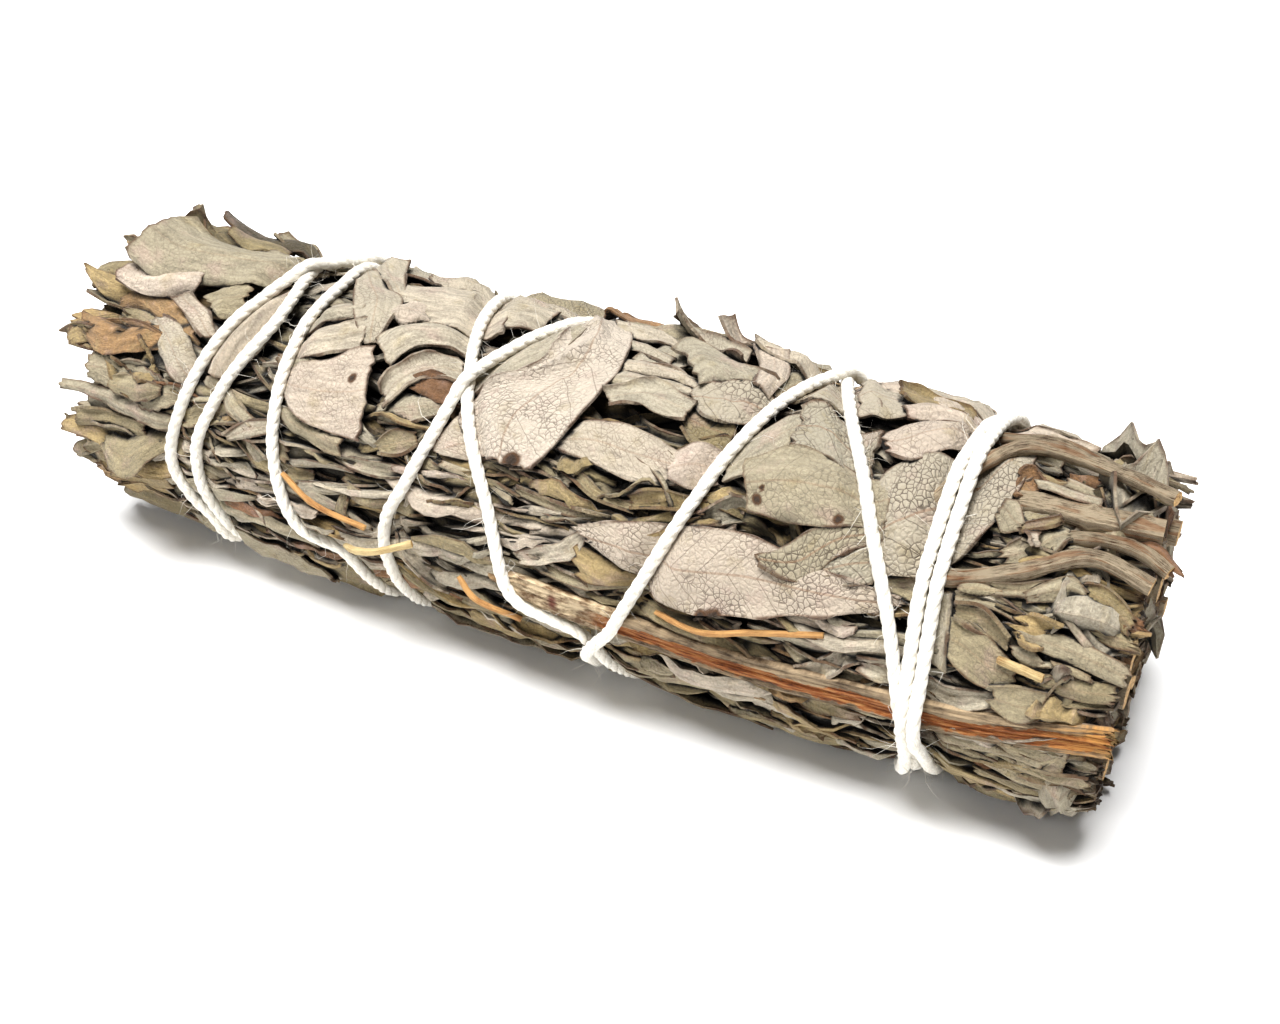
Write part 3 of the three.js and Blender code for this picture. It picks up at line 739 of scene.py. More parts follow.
def sheetOf(ownLeaf, seed):
    leaf = {**plainLeaf, **ownLeaf}
    rows, columns = leaf["faces"]
    back, front = (smoothWay(leaf[side], rows + 1) for side in ("back", "front"))
    across, sides, rise = acrossProfile(leaf, columns)
    middle, half = (back + front) / 2, (back - front) / 2
    wide = np.linalg.norm(half, axis=1)
    ribLength = np.concatenate([[0], np.cumsum(np.linalg.norm(np.diff(middle, axis=0), axis=1))])
    length = ribLength[-1]
    forward = np.gradient(middle, axis=0)
    forward /= np.maximum(np.linalg.norm(forward, axis=1), 1e-6)[:, None]
    spread = max(abs(sides[0]), abs(sides[-1]), 0.55)
    points, uv, rim, spot = [], [], [], []
    lift, bulge = leaf["lift"], leaf["bulge"]
    for i, along in enumerate(np.linspace(0, 1, rows + 1)):
        start, end = (1 - along) ** 5, along**5
        curl = 1 + 0.35 * noise.noise(Vector((along * 2.4, seed * 3.1, 0)))
        for c, side, up in zip(across, sides, rise):
            out = side / spread
            if leaf["teeth"] and abs(c) > 0.8:
                tooth = abs((along * leaf["toothCount"]) % 1 - 0.5) - 0.25
                out += math.copysign(leaf["teeth"] / max(wide[i], 0.5), c) * tooth
            torn = sum(
                high * noise.noise(Vector((c * scale, seed * 1.7, at))) for scale, at, high in tornNoise
            )
            shift = torn * leaf["ragged"] * (end - start) + (1 - c * c) * (bulge[1] * end - bulge[0] * start)
            flat = middle[i] + half[i] * out + forward[i] * shift
            q = Vector((flat[0], flat[1], seed * 5.0))
            wave = leaf["crumple"] * (noise.noise(q * 0.28) + 0.45 * noise.noise(q * 0.8))
            wave += c * wide[i] * leaf["twist"] * (2 * along - 1)
            wave += sum(creaseHeight(crease, along, c, length, wide[i]) for crease in leaf["creases"])
            frill = noise.noise(Vector((ribLength[i] * 0.28, math.copysign(3.0, c), seed * 2.3))) + 0.15
            wave += leaf["frill"] * max(0, (abs(c) - 0.55) / 0.45) ** 2 * frill
            ends = lift[0] * max(0, 1 - along / 0.45) ** 2 + lift[1] * max(0, (along - 0.55) / 0.45) ** 2
            points.append((flat[0], flat[1], leaf["level"] + wide[i] * up * curl + wave + ends))
            uv.append((ribLength[i], c * wide[i]))
            rim.append(min((1 - abs(c)) * wide[i], ribLength[i], length - ribLength[i]))
            away = [
                math.hypot((along - a) * length, (c - b) * wide[i]) / size for a, b, size in leaf["spots"]
            ]
            spot.append(max([0, *(1 - 0.6 * d for d in away)]))
    corners = [i * (columns + 1) + j for i in range(rows) for j in range(columns)]
    faces = [(a, a + columns + 1, a + columns + 2, a + 1) for a in corners]
    (forwardX, forwardY), (halfX, halfY) = forward[rows // 2], half[rows // 2]
    if forwardX * halfY < forwardY * halfX:
        faces = [face[::-1] for face in faces]
    return points, faces, uv, {"rim": rim, "spot": spot}


def onBunchFlat(edge):
    return [(x, flatArc(angle)) for x, angle in edge]


def joinSheets(name, leaves):
    points, faces, uv, values = [], [], [], {"rim": [], "spot": [], "tone": [], "net": []}
    for seed, own in enumerate(leaves):
        leaf = {**plainLeaf, **own, "back": onBunchFlat(own["back"]), "front": onBunchFlat(own["front"])}
        somePoints, someFaces, someUv, marks = sheetOf(leaf, seed + 1)
        faces += [[corner + len(points) for corner in face] for face in someFaces]
        points += somePoints
        uv += someUv
        for mark in ("rim", "spot"):
            values[mark] += marks[mark]
        for trait in ("tone", "net"):
            values[trait] += [leaf[trait]] * len(somePoints)
    return meshObject(name, points, faces, values={k: ("FLOAT", v) for k, v in values.items()}, uv=uv)


def finishLeaves(obj, tree, inputs, thickness):
    addTree(obj, tree, {"Twine way": flatWay, "Finish": leafMaterial, **inputs})
    wall = obj.modifiers.new("wall", "SOLIDIFY")
    wall.thickness = thickness * 0.001
    wall.offset = -1
    settle(obj)
    return stands(obj, "leaves", "leaf_bunch")


# Leaves that lie outermost, one by one: (x, angle) along their back and front edges.
# tone is the leaf's place on the colour scale, net how strong its veins are.
outerLeaves = {
    "bigFold": dict(
        back=[(-49.5, -7), (-44, -6), (-38, -7), (-32, -11)],
        front=[(-52, 21), (-48.2, 24), (-42, 19), (-36.4, 13), (-32.5, 2)], level=0.9, lift=(3.0, 0),
        curlFront=-1.4, curlFrom=0.6, dome=0.5, creases=[((0.05, 0.2), (0.8, 0.1), 0.7)], tone=0.44,
        bulge=(1.6, 0), ragged=1.2, teeth=0.3, faces=(32, 18)),
    "curledTip": dict(
        back=[(-52.5, 15), (-48, 12), (-43, 10)], front=[(-54, 25), (-48.5, 28), (-43, 22)], level=1.2,
        dome=1.7, tone=0.14, net=0.25, lift=(0.8, -0.4), ragged=0.8, faces=(24, 14)),
    "darkBack": dict(
        back=[(-48, -20), (-41, -22), (-32, -27)], front=[(-46.5, -11), (-39.5, -11), (-31, -15)],
        level=1.5, dome=0.7, tone=0.93, lift=(3.0, -0.8), ragged=0.9),
    "oliveTop": dict(
        back=[(-45, -13), (-41, -15), (-37, -14)], front=[(-44.5, -6), (-41, -4), (-36.5, -7)], level=1.6,
        dome=1.2, tone=0.6, net=0.2, lift=(1.4, -0.6)),
    "topMid": dict(
        back=[(-40, -22), (-36, -25), (-31, -22)], front=[(-40, -15), (-36, -14), (-31, -14)], level=1.2,
        tone=0.46, dome=0.4, lift=(1.4, 0), ragged=0.9),
    "pinkSmall": dict(
        back=[(-36, -24), (-33, -26), (-30, -24)], front=[(-36, -18), (-33, -17), (-30, -18)], level=1.0,
        tone=0.2, curlBack=1.4, crumple=0.5, lift=(0.8, 0)),
    "pinkOrange": dict(
        back=[(-45, 28), (-42, 33), (-39.5, 38)], front=[(-43, 24), (-40, 28), (-38, 36)], level=0.9,
        tone=0.2, net=0.5, lift=(1.2, 0)),
    "toothBrown": dict(
        back=[(-42, 20), (-40.5, 15), (-37.5, 12)], front=[(-40, 28), (-38.5, 29), (-36.5, 22)], level=0.6,
        tone=0.48, crumple=0.6, ragged=1.0),
    "tipBrown": dict(
        back=[(-48, 37), (-45.5, 47), (-41, 58)], front=[(-46, 33), (-42, 37), (-38.5, 52)], level=0.5,
        tone=0.28, net=0.5, dome=0.3),
    "yellowGnarl": dict(
        back=[(-56, 48), (-51.5, 45), (-48, 44), (-44, 54)],
        front=[(-54.5, 53), (-51, 53), (-48, 58), (-43.5, 60)], level=0.5, tone=0.68, crumple=1.4,
        ragged=2.2, curlFront=1.8, curlBack=1.4, frill=1.8, teeth=0.6, lift=(0.8, 0), faces=(30, 16)),
    "tipOlive": dict(
        back=[(-51.5, 34), (-49.5, 32), (-45, 36)], front=[(-51, 39), (-49, 42), (-44, 46)], level=0.4,
        tone=0.55, lift=(1.0, -0.6), ragged=0.8),
    "leafFan": dict(
        back=[(-54, 57), (-52, 53), (-47, 54), (-40, 60)],
        front=[(-53, 65), (-49, 69), (-44.5, 71), (-40, 64)], level=0.6, tone=0.46, net=0.35, dome=0.3,
        lift=(1.4, -0.4), ragged=0.8, teeth=0.5),
    "paleFold": dict(
        back=[(-50, 62), (-47, 59), (-42.5, 60)], front=[(-49, 68), (-46, 69), (-42.5, 63)], level=1.2,
        tone=0.52, fold=0.8, lift=(0.6, -0.4)),
    "forkLeaf": dict(
        back=[(-57, 69), (-51.5, 68), (-47, 69), (-41, 72)],
        front=[(-57, 73), (-52, 74), (-48, 76), (-41, 78)], level=0.7, fold=0.7, tone=0.42, crumple=0.5,
        lift=(1.4, -0.3)),
    "lowTip": dict(
        back=[(-55.5, 80), (-52, 78), (-45, 78)], front=[(-55, 88), (-51.5, 87), (-45, 85)], level=0.5,
        tone=0.56, ragged=0.9, lift=(1.2, -0.5), fold=0.4),
    "toothTip": dict(
        back=[(-53.5, 93), (-49.5, 90), (-43, 84)], front=[(-55, 105), (-50, 99), (-44, 95)], level=0.5,
        tone=0.5, ragged=1.8, lift=(1.6, -0.5), teeth=0.7),
    "lowTip2": dict(
        back=[(-51.5, 102), (-48.5, 101), (-44, 101)], front=[(-53, 114), (-50, 116), (-43, 109)],
        level=0.5, tone=0.66, ragged=1.2, lift=(1.2, -0.4)),
    "lowDark": dict(
        back=[(-53, 120), (-49.5, 118), (-44, 114)], front=[(-52, 133), (-50, 132), (-44, 126)], tone=0.72,
        ragged=1.6, lift=(1.0, -0.4)),
    "ovalRim": dict(
        back=[(-33.5, 3), (-35.8, 18), (-38, 31), (-37.6, 46)],
        front=[(-32, 6), (-32.2, 22), (-32, 35), (-34.6, 49)], level=0.6, dome=0.75, curlFront=2.6,
        curlFrom=0.72, tone=0.2, net=0.25, lift=(-0.4, 0), bulge=(0, 1.2), faces=(30, 16), ragged=0.1),
    "foldA": dict(
        back=[(-29, 23), (-26, 12), (-22, 7)], front=[(-28, 27), (-25.5, 20), (-22, 15)], level=0.5,
        fold=0.7, tone=0.36, net=0.2),
    "foldB": dict(
        back=[(-28.5, 33), (-26, 24), (-20.5, 15)], front=[(-28, 37), (-24.5, 35), (-19.5, 28)], level=0.6,
        dome=0.7, curlFront=1.4, tone=0.26, net=0.2, bulge=(1.0, 0)),
    "roundFold": dict(
        back=[(-29, 35), (-27, 34), (-24.5, 36)], front=[(-28.5, 42), (-26, 43), (-24, 40)], dome=0.9,
        curlFront=1.8, tone=0.44, bulge=(0.6, 1.0)),
    "stripA": dict(
        back=[(-37, 50), (-33.5, 55), (-29.5, 62)], front=[(-38, 54), (-34.5, 60), (-30, 67)], fold=0.5,
        tone=0.44),
    "pointLeaf": dict(
        back=[(-32.4, 69), (-30.5, 63), (-27.5, 60)], front=[(-31.8, 71), (-30, 69), (-27.5, 65)],
        level=0.7, tone=0.34, lift=(0.8, 0)),
    "underBig": dict(
        back=[(-27.5, 54), (-24, 55), (-18, 58)], front=[(-27, 59), (-24, 63), (-18, 65)], level=0.1,
        fold=0.6, tone=0.48),
    "brownTri": dict(
        back=[(-28, -12), (-25, 4), (-22.6, 16), (-19.4, 26)],
        front=[(-26, -14), (-22, -3), (-18.6, 4), (-18.2, 24)], level=1.0, dome=-0.1, fold=0.25, net=0.5,
        ragged=0.2),
    "greyTop": dict(
        back=[(-31, -26), (-26, -14), (-19.5, 3)], front=[(-24, -26), (-22.5, -16), (-19, 0)], level=0.8,
        net=0.4, lift=(1.2, 0)),
    "bud": dict(
        back=[(-19, 7), (-17.5, 1), (-15, 2)], front=[(-18.4, 12), (-16.5, 14), (-14.6, 9)], level=0.5,
        dome=1.0, curlFront=-0.8, curlBack=-0.8, crumple=0.9, tone=0.16, bulge=(0.8, 0.8), ragged=0.1),
    "plainWide": dict(
        back=[(-22, -12), (-19, -16), (-15, -19), (-8, -21)],
        front=[(-20, 3), (-16, 11), (-12, 10), (-6, 6)], level=0.45, dome=0.25, tone=0.24, net=0.15,
        bulge=(1.2, 0)),
    "plainWide2": dict(
        back=[(-14, -22), (-9, -25), (-3, -25)], front=[(-11, 0), (-7, 3), (-3, -4)], level=0.4, dome=0.3,
        tone=0.27, net=0.2),
    "tubeArch": dict(
        back=[(-18.5, 23), (-17, 14), (-13.5, 10), (-8, 8)],
        front=[(-15.4, 31), (-14, 23), (-11.5, 19), (-7, 17)], level=0.5, dome=1.1, net=0.1, lift=(0, -0.3)),
    "redCurl": dict(
        back=[(-15.5, 40), (-15, 32), (-13, 25), (-8.5, 19)],
        front=[(-14, 44), (-12.6, 37), (-11, 32), (-6.5, 29)], level=0.5, curlFront=2.2, curlBack=0.8,
        crumple=0.6, ragged=0.9),
    "redTorn": dict(
        back=[(-12.5, 31), (-10.5, 29), (-7, 28)], front=[(-12, 36), (-9, 38), (-6.5, 37)], tone=0.85,
        crumple=0.7, ragged=1.2),
    "belowRed": dict(
        back=[(-15.6, 45), (-13.5, 38), (-8, 36)], front=[(-15, 50), (-12, 49), (-8, 41)], level=-0.4,
        dome=0.6, tone=0.42),
    "greenCurl": dict(
        back=[(-14.6, 58), (-12.5, 51), (-10, 50)], front=[(-13.5, 60), (-11, 59), (-9.6, 54)], level=-0.3,
        curlFront=1.8, tone=0.54),
    "pinkWide": dict(
        back=[(-28.5, 41), (-25.5, 38), (-22, 33), (-18, 25)],
        front=[(-27.5, 50), (-24.5, 55), (-20, 58), (-15.6, 58)], level=1.0, dome=0.12, tone=0.15, net=0.45,
        bulge=(0.4, 0.3), ragged=0.8,
        creases=[((0.1, 0.3), (0.6, -0.2), 0.5), ((0.5, 0.7), (0.95, -0.1), -0.4)],
        spots=[(0.84, 0.3, 0.5)], faces=(34, 24)),
    "centreMain": dict(
        back=[(-1.5, -22), (0.8, 2), (0.4, 18), (-3.8, 30), (-5.8, 38), (-2.8, 52)],
        front=[(4, -24), (7.6, -6), (9, 11), (8, 27), (6.5, 40), (4.6, 51)], level=1.15, dome=-0.05,
        tone=0.05, net=0.75, crumple=0.5, ragged=0.5, lift=(-0.3, 0.2), curlBack=0.7, curlFrom=0.7,
        creases=[
            ((0.62, 0.9), (0.3, -0.1), 1.5), ((0.3, -0.1), (0.06, 0.3), 1.0),
            ((0.72, 0.5), (0.94, -0.1), 0.5),
        ],
        spots=[(0.98, -0.35, 0.9)], faces=(48, 30)),
    "centreUpper": dict(
        back=[(-6.4, 24), (-4.8, 9), (-3, 0), (-2, -20)],
        front=[(-6, 33), (-2.6, 26), (1.4, 18), (2.4, -12)], level=0.8, dome=0.3, tone=0.36, lift=(-0.2, 0)),
    "centreLow": dict(
        back=[(-8, 54), (-6.5, 43), (-5, 38)], front=[(-6.5, 55), (-3, 54), (2, 48)], level=0.4, tone=0.2,
        net=0.5),
    "longMidrib": dict(
        back=[(5, 38), (9, 30), (13.5, 29), (19, 33)], front=[(5.5, 42), (11, 44), (15.5, 46), (21.5, 42)],
        level=0.5, dome=0.35, tone=0.22, net=0.5, lift=(-0.5, 0)),
    "foldOver": dict(
        back=[(8.5, 20), (11.5, 14), (14.5, 12), (18.5, 16)],
        front=[(10, 24), (13, 22), (15, 24), (18, 23)], level=0.7, curlFront=-1.3, tone=0.36),
    "rollA": dict(
        back=[(7, 4), (11, 3), (14, 3), (18, 6)], front=[(8, 9), (11.5, 9), (14.5, 8), (18, 10)], level=0.5,
        dome=1.4, tone=0.24),
    "rollB": dict(
        back=[(6.5, 12), (10.5, 8), (13.5, 7), (18, 8)], front=[(7, 19), (10.5, 16), (13, 13), (18, 12)],
        dome=1.0),
    "rollC": dict(
        back=[(2, -26), (6, -25), (11, -22)], front=[(5, -12), (8.5, -9), (12, -12)], level=0.4, dome=0.8,
        tone=0.24),
    "rollD": dict(
        back=[(5.5, -9), (9, -8), (13, -4)], front=[(6, -3), (9, -2), (13, 1)], dome=1.2, tone=0.34),
    "darkTop": dict(
        back=[(1, -26), (4, -29), (9, -27)], front=[(2, -20), (5, -21), (9, -22)], level=1.1, dome=0.7,
        tone=0.8, lift=(1.6, 0)),
    "textured": dict(
        back=[(9, 3), (10, -8), (11.5, -16)], front=[(12, 8), (14, 4), (15, -6)], level=0.4, tone=0.38,
        net=0.4),
    "squareCut": dict(
        back=[(13, -3), (13.5, -10), (17, -10), (24, -4)], front=[(18, 10), (18.5, 8), (20, 4), (24, 1)],
        level=0.95, dome=0.25, curlFront=-0.7, tone=0.4, ragged=1.0, lift=(0.3, -0.3)),
    "peak": dict(
        back=[(10, -20), (13, -21), (20, -14)], front=[(12, -12), (15, -13), (20, -7)], level=1.0,
        fold=-0.7, tone=0.34, net=0.5, lift=(3.0, 0), ragged=0.2),
    "darkBehind": dict(
        back=[(10, -27), (14, -28), (20, -25)], front=[(10, -21), (14, -22), (20, -18)], level=1.3,
        dome=0.7, tone=0.9, ragged=0.9, lift=(1.6, 0), teeth=0.7),
    "standing": dict(
        back=[(16, -25), (18, -26), (22, -24)], front=[(15.5, -18), (18, -17), (22, -16)], level=1.4,
        curlBack=1.4, tone=0.2, lift=(2.6, 0), crumple=0.6, ragged=0.7),
    "ridge": dict(
        back=[(19, -24), (22, -25), (28, -22)], front=[(20, -17), (24, -14), (29, -14)], level=1.3,
        tone=0.24, fold=0.5, lift=(1.2, 0), crumple=0.5),
    "triangle": dict(
        back=[(19.5, -18), (21.5, -10), (22.8, 3)], front=[(23.5, -18), (25, -9), (24.6, 4)], level=1.2,
        tone=0.16, lift=(1.0, 0.3), ragged=0.2),
    "greyCrumple": dict(
        back=[(16.5, 10), (19, 5), (22, 2), (26, 2)], front=[(18, 16), (20.5, 20), (22.5, 19), (25, 12)],
        level=0.6, net=0.9, crumple=0.7, ragged=0.9),
    "olivePatch": dict(
        back=[(16.5, 16), (19, 14), (23, 16)], front=[(18, 24), (20, 29), (23, 28)], level=0.0, tone=0.6,
        net=0.7),
    "fuzzPale": dict(
        back=[(17.5, 37), (20, 29), (23, 28)], front=[(19, 42), (21, 43), (23.5, 39)], level=0.9, tone=0.12,
        net=0.4, crumple=0.6, ragged=0.8),
    "paleLong": dict(
        back=[(23.5, 28), (26, 14), (30, 5)], front=[(24, 38), (28, 30), (31, 10)], level=0.45, dome=0.3,
        tone=0.4, ragged=0.3, curlFront=0.9),
    "oliveUnder": dict(
        back=[(23.5, -2), (24, -20), (27, -25), (31, -24)], front=[(26, 2), (28, -4), (30, -12), (32, -18)],
        level=0.6, tone=0.48, net=0.5),
    "serrated": dict(
        back=[(26, -3), (29, -13), (33, -18)], front=[(28, 0), (31, 0), (36, -2)], level=0.9, net=0.7,
        teeth=0.6, toothCount=7),
    "blueGrey": dict(
        back=[(28.5, 6), (31, 4), (37, 8)], front=[(29.5, 22), (32, 22), (37.5, 26)], level=0.8, tone=0.38,
        net=1.0, crumple=0.6, ragged=0.8),
    "squarish": dict(
        back=[(26, 31), (29.5, 23), (33.5, 22), (40, 24)], front=[(28, 45), (32, 45), (36, 43), (41, 36)],
        level=0.85, dome=0.5, tone=0.45, net=0.5,
        creases=[((0.1, -0.9), (0.6, -0.5), 0.8), ((0.2, 0.4), (0.7, 0.1), 0.4)],
        spots=[(0.08, -0.55, 0.5), (0.12, -0.2, 0.3), (0.66, -0.8, 0.5)], lift=(0.6, -0.2), faces=(32, 22)),
    "darkNet": dict(
        back=[(29.8, 56), (32, 52), (35, 44), (40.5, 35)],
        front=[(30.6, 58), (35, 60), (37.4, 51), (41, 41)], level=1.2, tone=0.44, net=1.0, ragged=0.2,
        lift=(0.4, 0), faces=(30, 16)),
    "darkNet2": dict(
        back=[(36, 53), (38, 46), (41, 41)], front=[(36.4, 58), (38.4, 58), (41.4, 55)], level=0.9,
        tone=0.38, net=0.9, ragged=0.4),
    "longPink": dict(
        back=[(11, 63), (15.5, 58), (22, 54), (28.5, 51), (35, 54), (44, 57)],
        front=[(12.6, 68), (17.5, 74), (21, 79), (25, 78.5), (34, 71), (44, 62)], level=1.0, dome=0.2,
        tone=0.17, net=0.85, ragged=1.6, lift=(0.3, -0.4), spots=[(0.42, -1.0, 0.6), (0.46, -1.0, 0.7)],
        faces=(60, 22)),
    "pinkEnd": dict(
        back=[(11, 69), (13, 70), (18, 74)], front=[(11.4, 79), (13.4, 81), (18, 79)], level=0.5, tone=0.7,
        net=0.2, ragged=0.8, dome=0.5),
    "bigNet": dict(
        back=[(37.5, 31), (38.5, 24), (41, 14), (44, 8), (50, -5)],
        front=[(40.5, 52), (46, 48), (48.8, 38), (51.2, 20), (51.6, -2)], level=0.8, dome=0.15, net=1.0,
        ragged=0.6, lift=(-0.2, 0.3), faces=(44, 26)),
    "topPurple": dict(
        back=[(37, 9), (39.5, -2), (44, -10)], front=[(38.5, 15), (41, 16), (45.4, -2)], level=1.0,
        tone=0.14, net=0.6, ragged=0.5, dome=0.3),
    "topRidge": dict(
        back=[(31, -22), (34, -22), (39, -12)], front=[(33.5, 0), (36, 0), (39.5, -6)], level=0.9, net=0.6,
        lift=(1.0, 0), ragged=0.7),
    "topDark": dict(
        back=[(36, -14), (39, -20), (44, -20)], front=[(37.5, -7), (40, -11), (44, -15)], level=1.0,
        tone=0.66, lift=(1.2, 0), curlBack=1.2, ragged=0.7),
    "topPink": dict(
        back=[(37, -8), (40, -15), (45, -16)], front=[(38.5, -1), (41, -4), (45, -9)], level=0.8, tone=0.14,
        fold=0.6),
    "standRect": dict(
        back=[(46, 52), (46.4, 61), (46.8, 74)], front=[(48.6, 51), (49.2, 61), (49.8, 74)], level=1.0,
        dome=-0.15, tone=0.4, net=0.15, ragged=0.2, faces=(24, 10)),
    "hollowCurlA": dict(
        back=[(2, 49), (5, 46.6), (9, 49)], front=[(1.6, 53), (5, 52), (8.4, 54)], level=-0.5,
        curlFront=3.0, curlBack=0.6, curlFrom=0.0, tone=0.44, lift=(0.2, 0.5)),
    "hollowCurlB": dict(
        back=[(-3, 52), (1, 51), (6, 54), (11, 57)], front=[(-3, 55), (1, 54.6), (6, 57.6), (11, 60)],
        level=-0.4, curlBack=2.8, curlFrom=0.1, tone=0.5, frill=0.4),
    "hollowCurlC": dict(
        back=[(7, 46), (9.4, 47), (12, 51), (16, 52)], front=[(6.4, 48), (8.6, 50), (11.6, 54), (16, 55)],
        level=-0.3, curlFront=2.6, curlFrom=0.2, tone=0.56, frill=0.4),
    "hollowCurlD": dict(
        back=[(15, 50), (19, 46), (23, 45)], front=[(15.6, 54), (19.6, 51), (23.4, 49)], level=-0.2,
        curlFront=2.4, curlBack=1.2, curlFrom=0.1, tone=0.66, crumple=0.8),
    "hollowCurlE": dict(
        back=[(-6, 56), (-2, 57), (3, 60)], front=[(-6.4, 59), (-2, 61), (3, 64)], level=-0.1, dome=2.0,
        tone=0.46, frill=0.4),
    "hollowCurlF": dict(
        back=[(3, 57), (8, 58), (14, 58)], front=[(3, 60.4), (8, 62), (14, 61)], level=0.0, curlBack=2.4,
        curlFrom=0.1, tone=0.5, frill=0.5),
    "smallPale": dict(
        back=[(50.3, 8), (51.1, 4), (52, 6)], front=[(50.8, 12), (51.8, 10), (52.2, 8)], level=0.8,
        tone=0.2, frill=0.3),
    "brownCup": dict(
        back=[(51, 10), (51.8, 7), (53.6, 10)], front=[(51.2, 18), (52.2, 16), (53.2, 14)], level=0.4,
        dome=-0.9, tone=0.8, crumple=0.8, lift=(0.5, 0.5)),
    "shell": dict(
        back=[(50.8, 20), (51.8, 19), (53, 25)], front=[(50.4, 26), (51.4, 30), (52.8, 28)], level=0.8,
        dome=0.5, tone=0.45, net=0.4, frill=0.4, lift=(0.4, 0)),
    "mauveCrumple": dict(
        back=[(51.6, 19), (53.1, 14), (55.6, 14)], front=[(52.4, 26), (54.7, 24), (56.2, 19)], level=0.0,
        dome=0.5, tone=0.5, crumple=1.2, ragged=1.0),
    "oliveCurl": dict(
        back=[(52.6, 26), (54.4, 22), (56, 20)], front=[(53, 28.5), (54.8, 25), (56.2, 22)], level=0.6,
        curlFront=1.6, tone=0.6, lift=(0.2, 0.6)),
    "tornMid": dict(
        back=[(51.6, 35), (53.6, 28), (55, 22), (57, 23)],
        front=[(53, 38), (55.4, 35), (56.6, 30), (57.4, 25)], level=0.1, dome=0.4, tone=0.46, crumple=1.0,
        ragged=1.2),
    "shard": dict(
        back=[(53.5, 28), (54.8, 27)], front=[(54.5, 32), (55.3, 31)], level=1.1, tone=0.2, frill=0.2,
        lift=(0.6, 0), faces=(8, 4)),
    "rightFold": dict(
        back=[(55.8, 26), (58.4, 25), (62, 26)], front=[(56.2, 33), (58.5, 31), (62, 30)], level=-0.5,
        dome=0.9, tone=0.48, frill=0.3),
    "stalkFlat": dict(
        back=[(52.4, 10), (55.5, 11.6), (59, 12)], front=[(53, 13), (55.7, 15), (59.2, 15.2)], level=1.7,
        dome=0.8, tone=0.42, frill=0.2, lift=(-0.6, 0)),
    "darkTopLeaf": dict(
        back=[(50.4, 1), (52.6, 1), (55.6, 2)], front=[(50.9, 5), (52.9, 6), (55.6, 6)], level=-0.2,
        dome=0.6, tone=0.66, crumple=0.7),
    "underStalk": dict(
        back=[(55, 4), (57.1, 5), (60, 6)], front=[(55.2, 8), (57.1, 9), (60, 9)], level=0.5, dome=1.0,
        tone=0.46, frill=0.2),
    "topEnd": dict(
        back=[(59, -5), (61.9, -4), (64.4, 0)], front=[(59, -1), (61.3, 2), (64.6, 5)], level=1.0,
        curlBack=1.6, tone=0.6, ragged=0.8, crumple=0.6),
    "hookEnd": dict(
        back=[(62.6, 20), (64.6, 19), (67.6, 24)], front=[(63, 23), (65, 24), (67, 28)], level=0.0,
        fold=0.6, tone=0.84, ragged=1.6, crumple=0.7, lift=(-0.6, 0)),
    "palePip": dict(
        back=[(49.4, 47), (50.9, 45.6), (52.6, 46)], front=[(49.8, 50), (51.4, 49.6), (52.8, 47.6)],
        level=0.8, dome=1.2, tone=0.5, frill=0.1, bulge=(0.6, 0.6)),
    "paleLow": dict(
        back=[(52, 45), (54.5, 43), (57.2, 39)], front=[(52.6, 48), (55.6, 45.6), (57.8, 41)], level=0.7,
        fold=-0.9, tone=0.49, frill=0.4),
    "paleTall": dict(
        back=[(55, 45), (56.9, 40), (58.8, 37), (60.4, 40)], front=[(55.6, 48), (58.3, 45.6), (60.6, 43)],
        level=0.7, fold=0.7, foldAt=0.2, tone=0.47, curlBack=0.8, frill=0.5),
    "darkLong": dict(
        back=[(52.4, 47), (56.1, 46.4), (58.6, 45), (61.6, 46.6)],
        front=[(53, 50), (56.7, 51), (59.9, 51), (61.8, 49.6)], level=0.2, dome=0.4, tone=0.59, net=0.2),
    "darkRight": dict(
        back=[(58.8, 39), (61.4, 37), (63.1, 39), (65, 43)],
        front=[(59, 44.6), (61.6, 44), (63.3, 47), (65, 49)], level=0.4, dome=0.5, tone=0.63, crumple=0.6,
        ragged=0.8),
    "paleStrip": dict(
        back=[(49, 50), (52.7, 48), (55.6, 51)], front=[(49.2, 53), (52.5, 52), (55.6, 54)], level=0.6,
        fold=-0.8, tone=0.49, frill=0.4),
    "paleEdge": dict(
        back=[(49.2, 53), (51.9, 51.6), (55, 58)], front=[(49.6, 57), (52, 59), (55, 61)], level=0.6,
        curlBack=1.8, curlFrom=0.3, tone=0.55, lift=(0, 0.4)),
    "creamGnarl": dict(
        back=[(54.6, 52), (56.5, 50), (59.4, 51)], front=[(55, 57), (57.2, 59), (59.4, 56)], level=1.0,
        curlBack=1.8, curlFront=1.4, tone=0.74, crumple=1.6, ragged=1.8, frill=1.6, faces=(22, 14)),
    "archLeaf": dict(
        back=[(57, 49.6), (59, 47.6), (60.6, 50), (62.4, 54)],
        front=[(57.6, 51.8), (59.2, 50), (60.2, 52), (61.8, 56)], level=1.4, dome=1.6, tone=0.42, frill=0.1,
        lift=(-0.6, -0.6)),
    "ovalSmall": dict(
        back=[(55.2, 60), (56.9, 59.4), (58.4, 62)], front=[(55.6, 63), (57, 65), (58.4, 64)], level=0.8,
        dome=0.7, tone=0.45, frill=0.2),
    "stripRight": dict(
        back=[(56, 54), (59, 53), (62, 54), (65.4, 56)], front=[(56, 59), (59, 60), (62, 61), (65.6, 63)],
        level=0.9, dome=0.8, tone=0.47, frill=0.4, ragged=0.9, faces=(30, 12)),
    "greyEnd": dict(
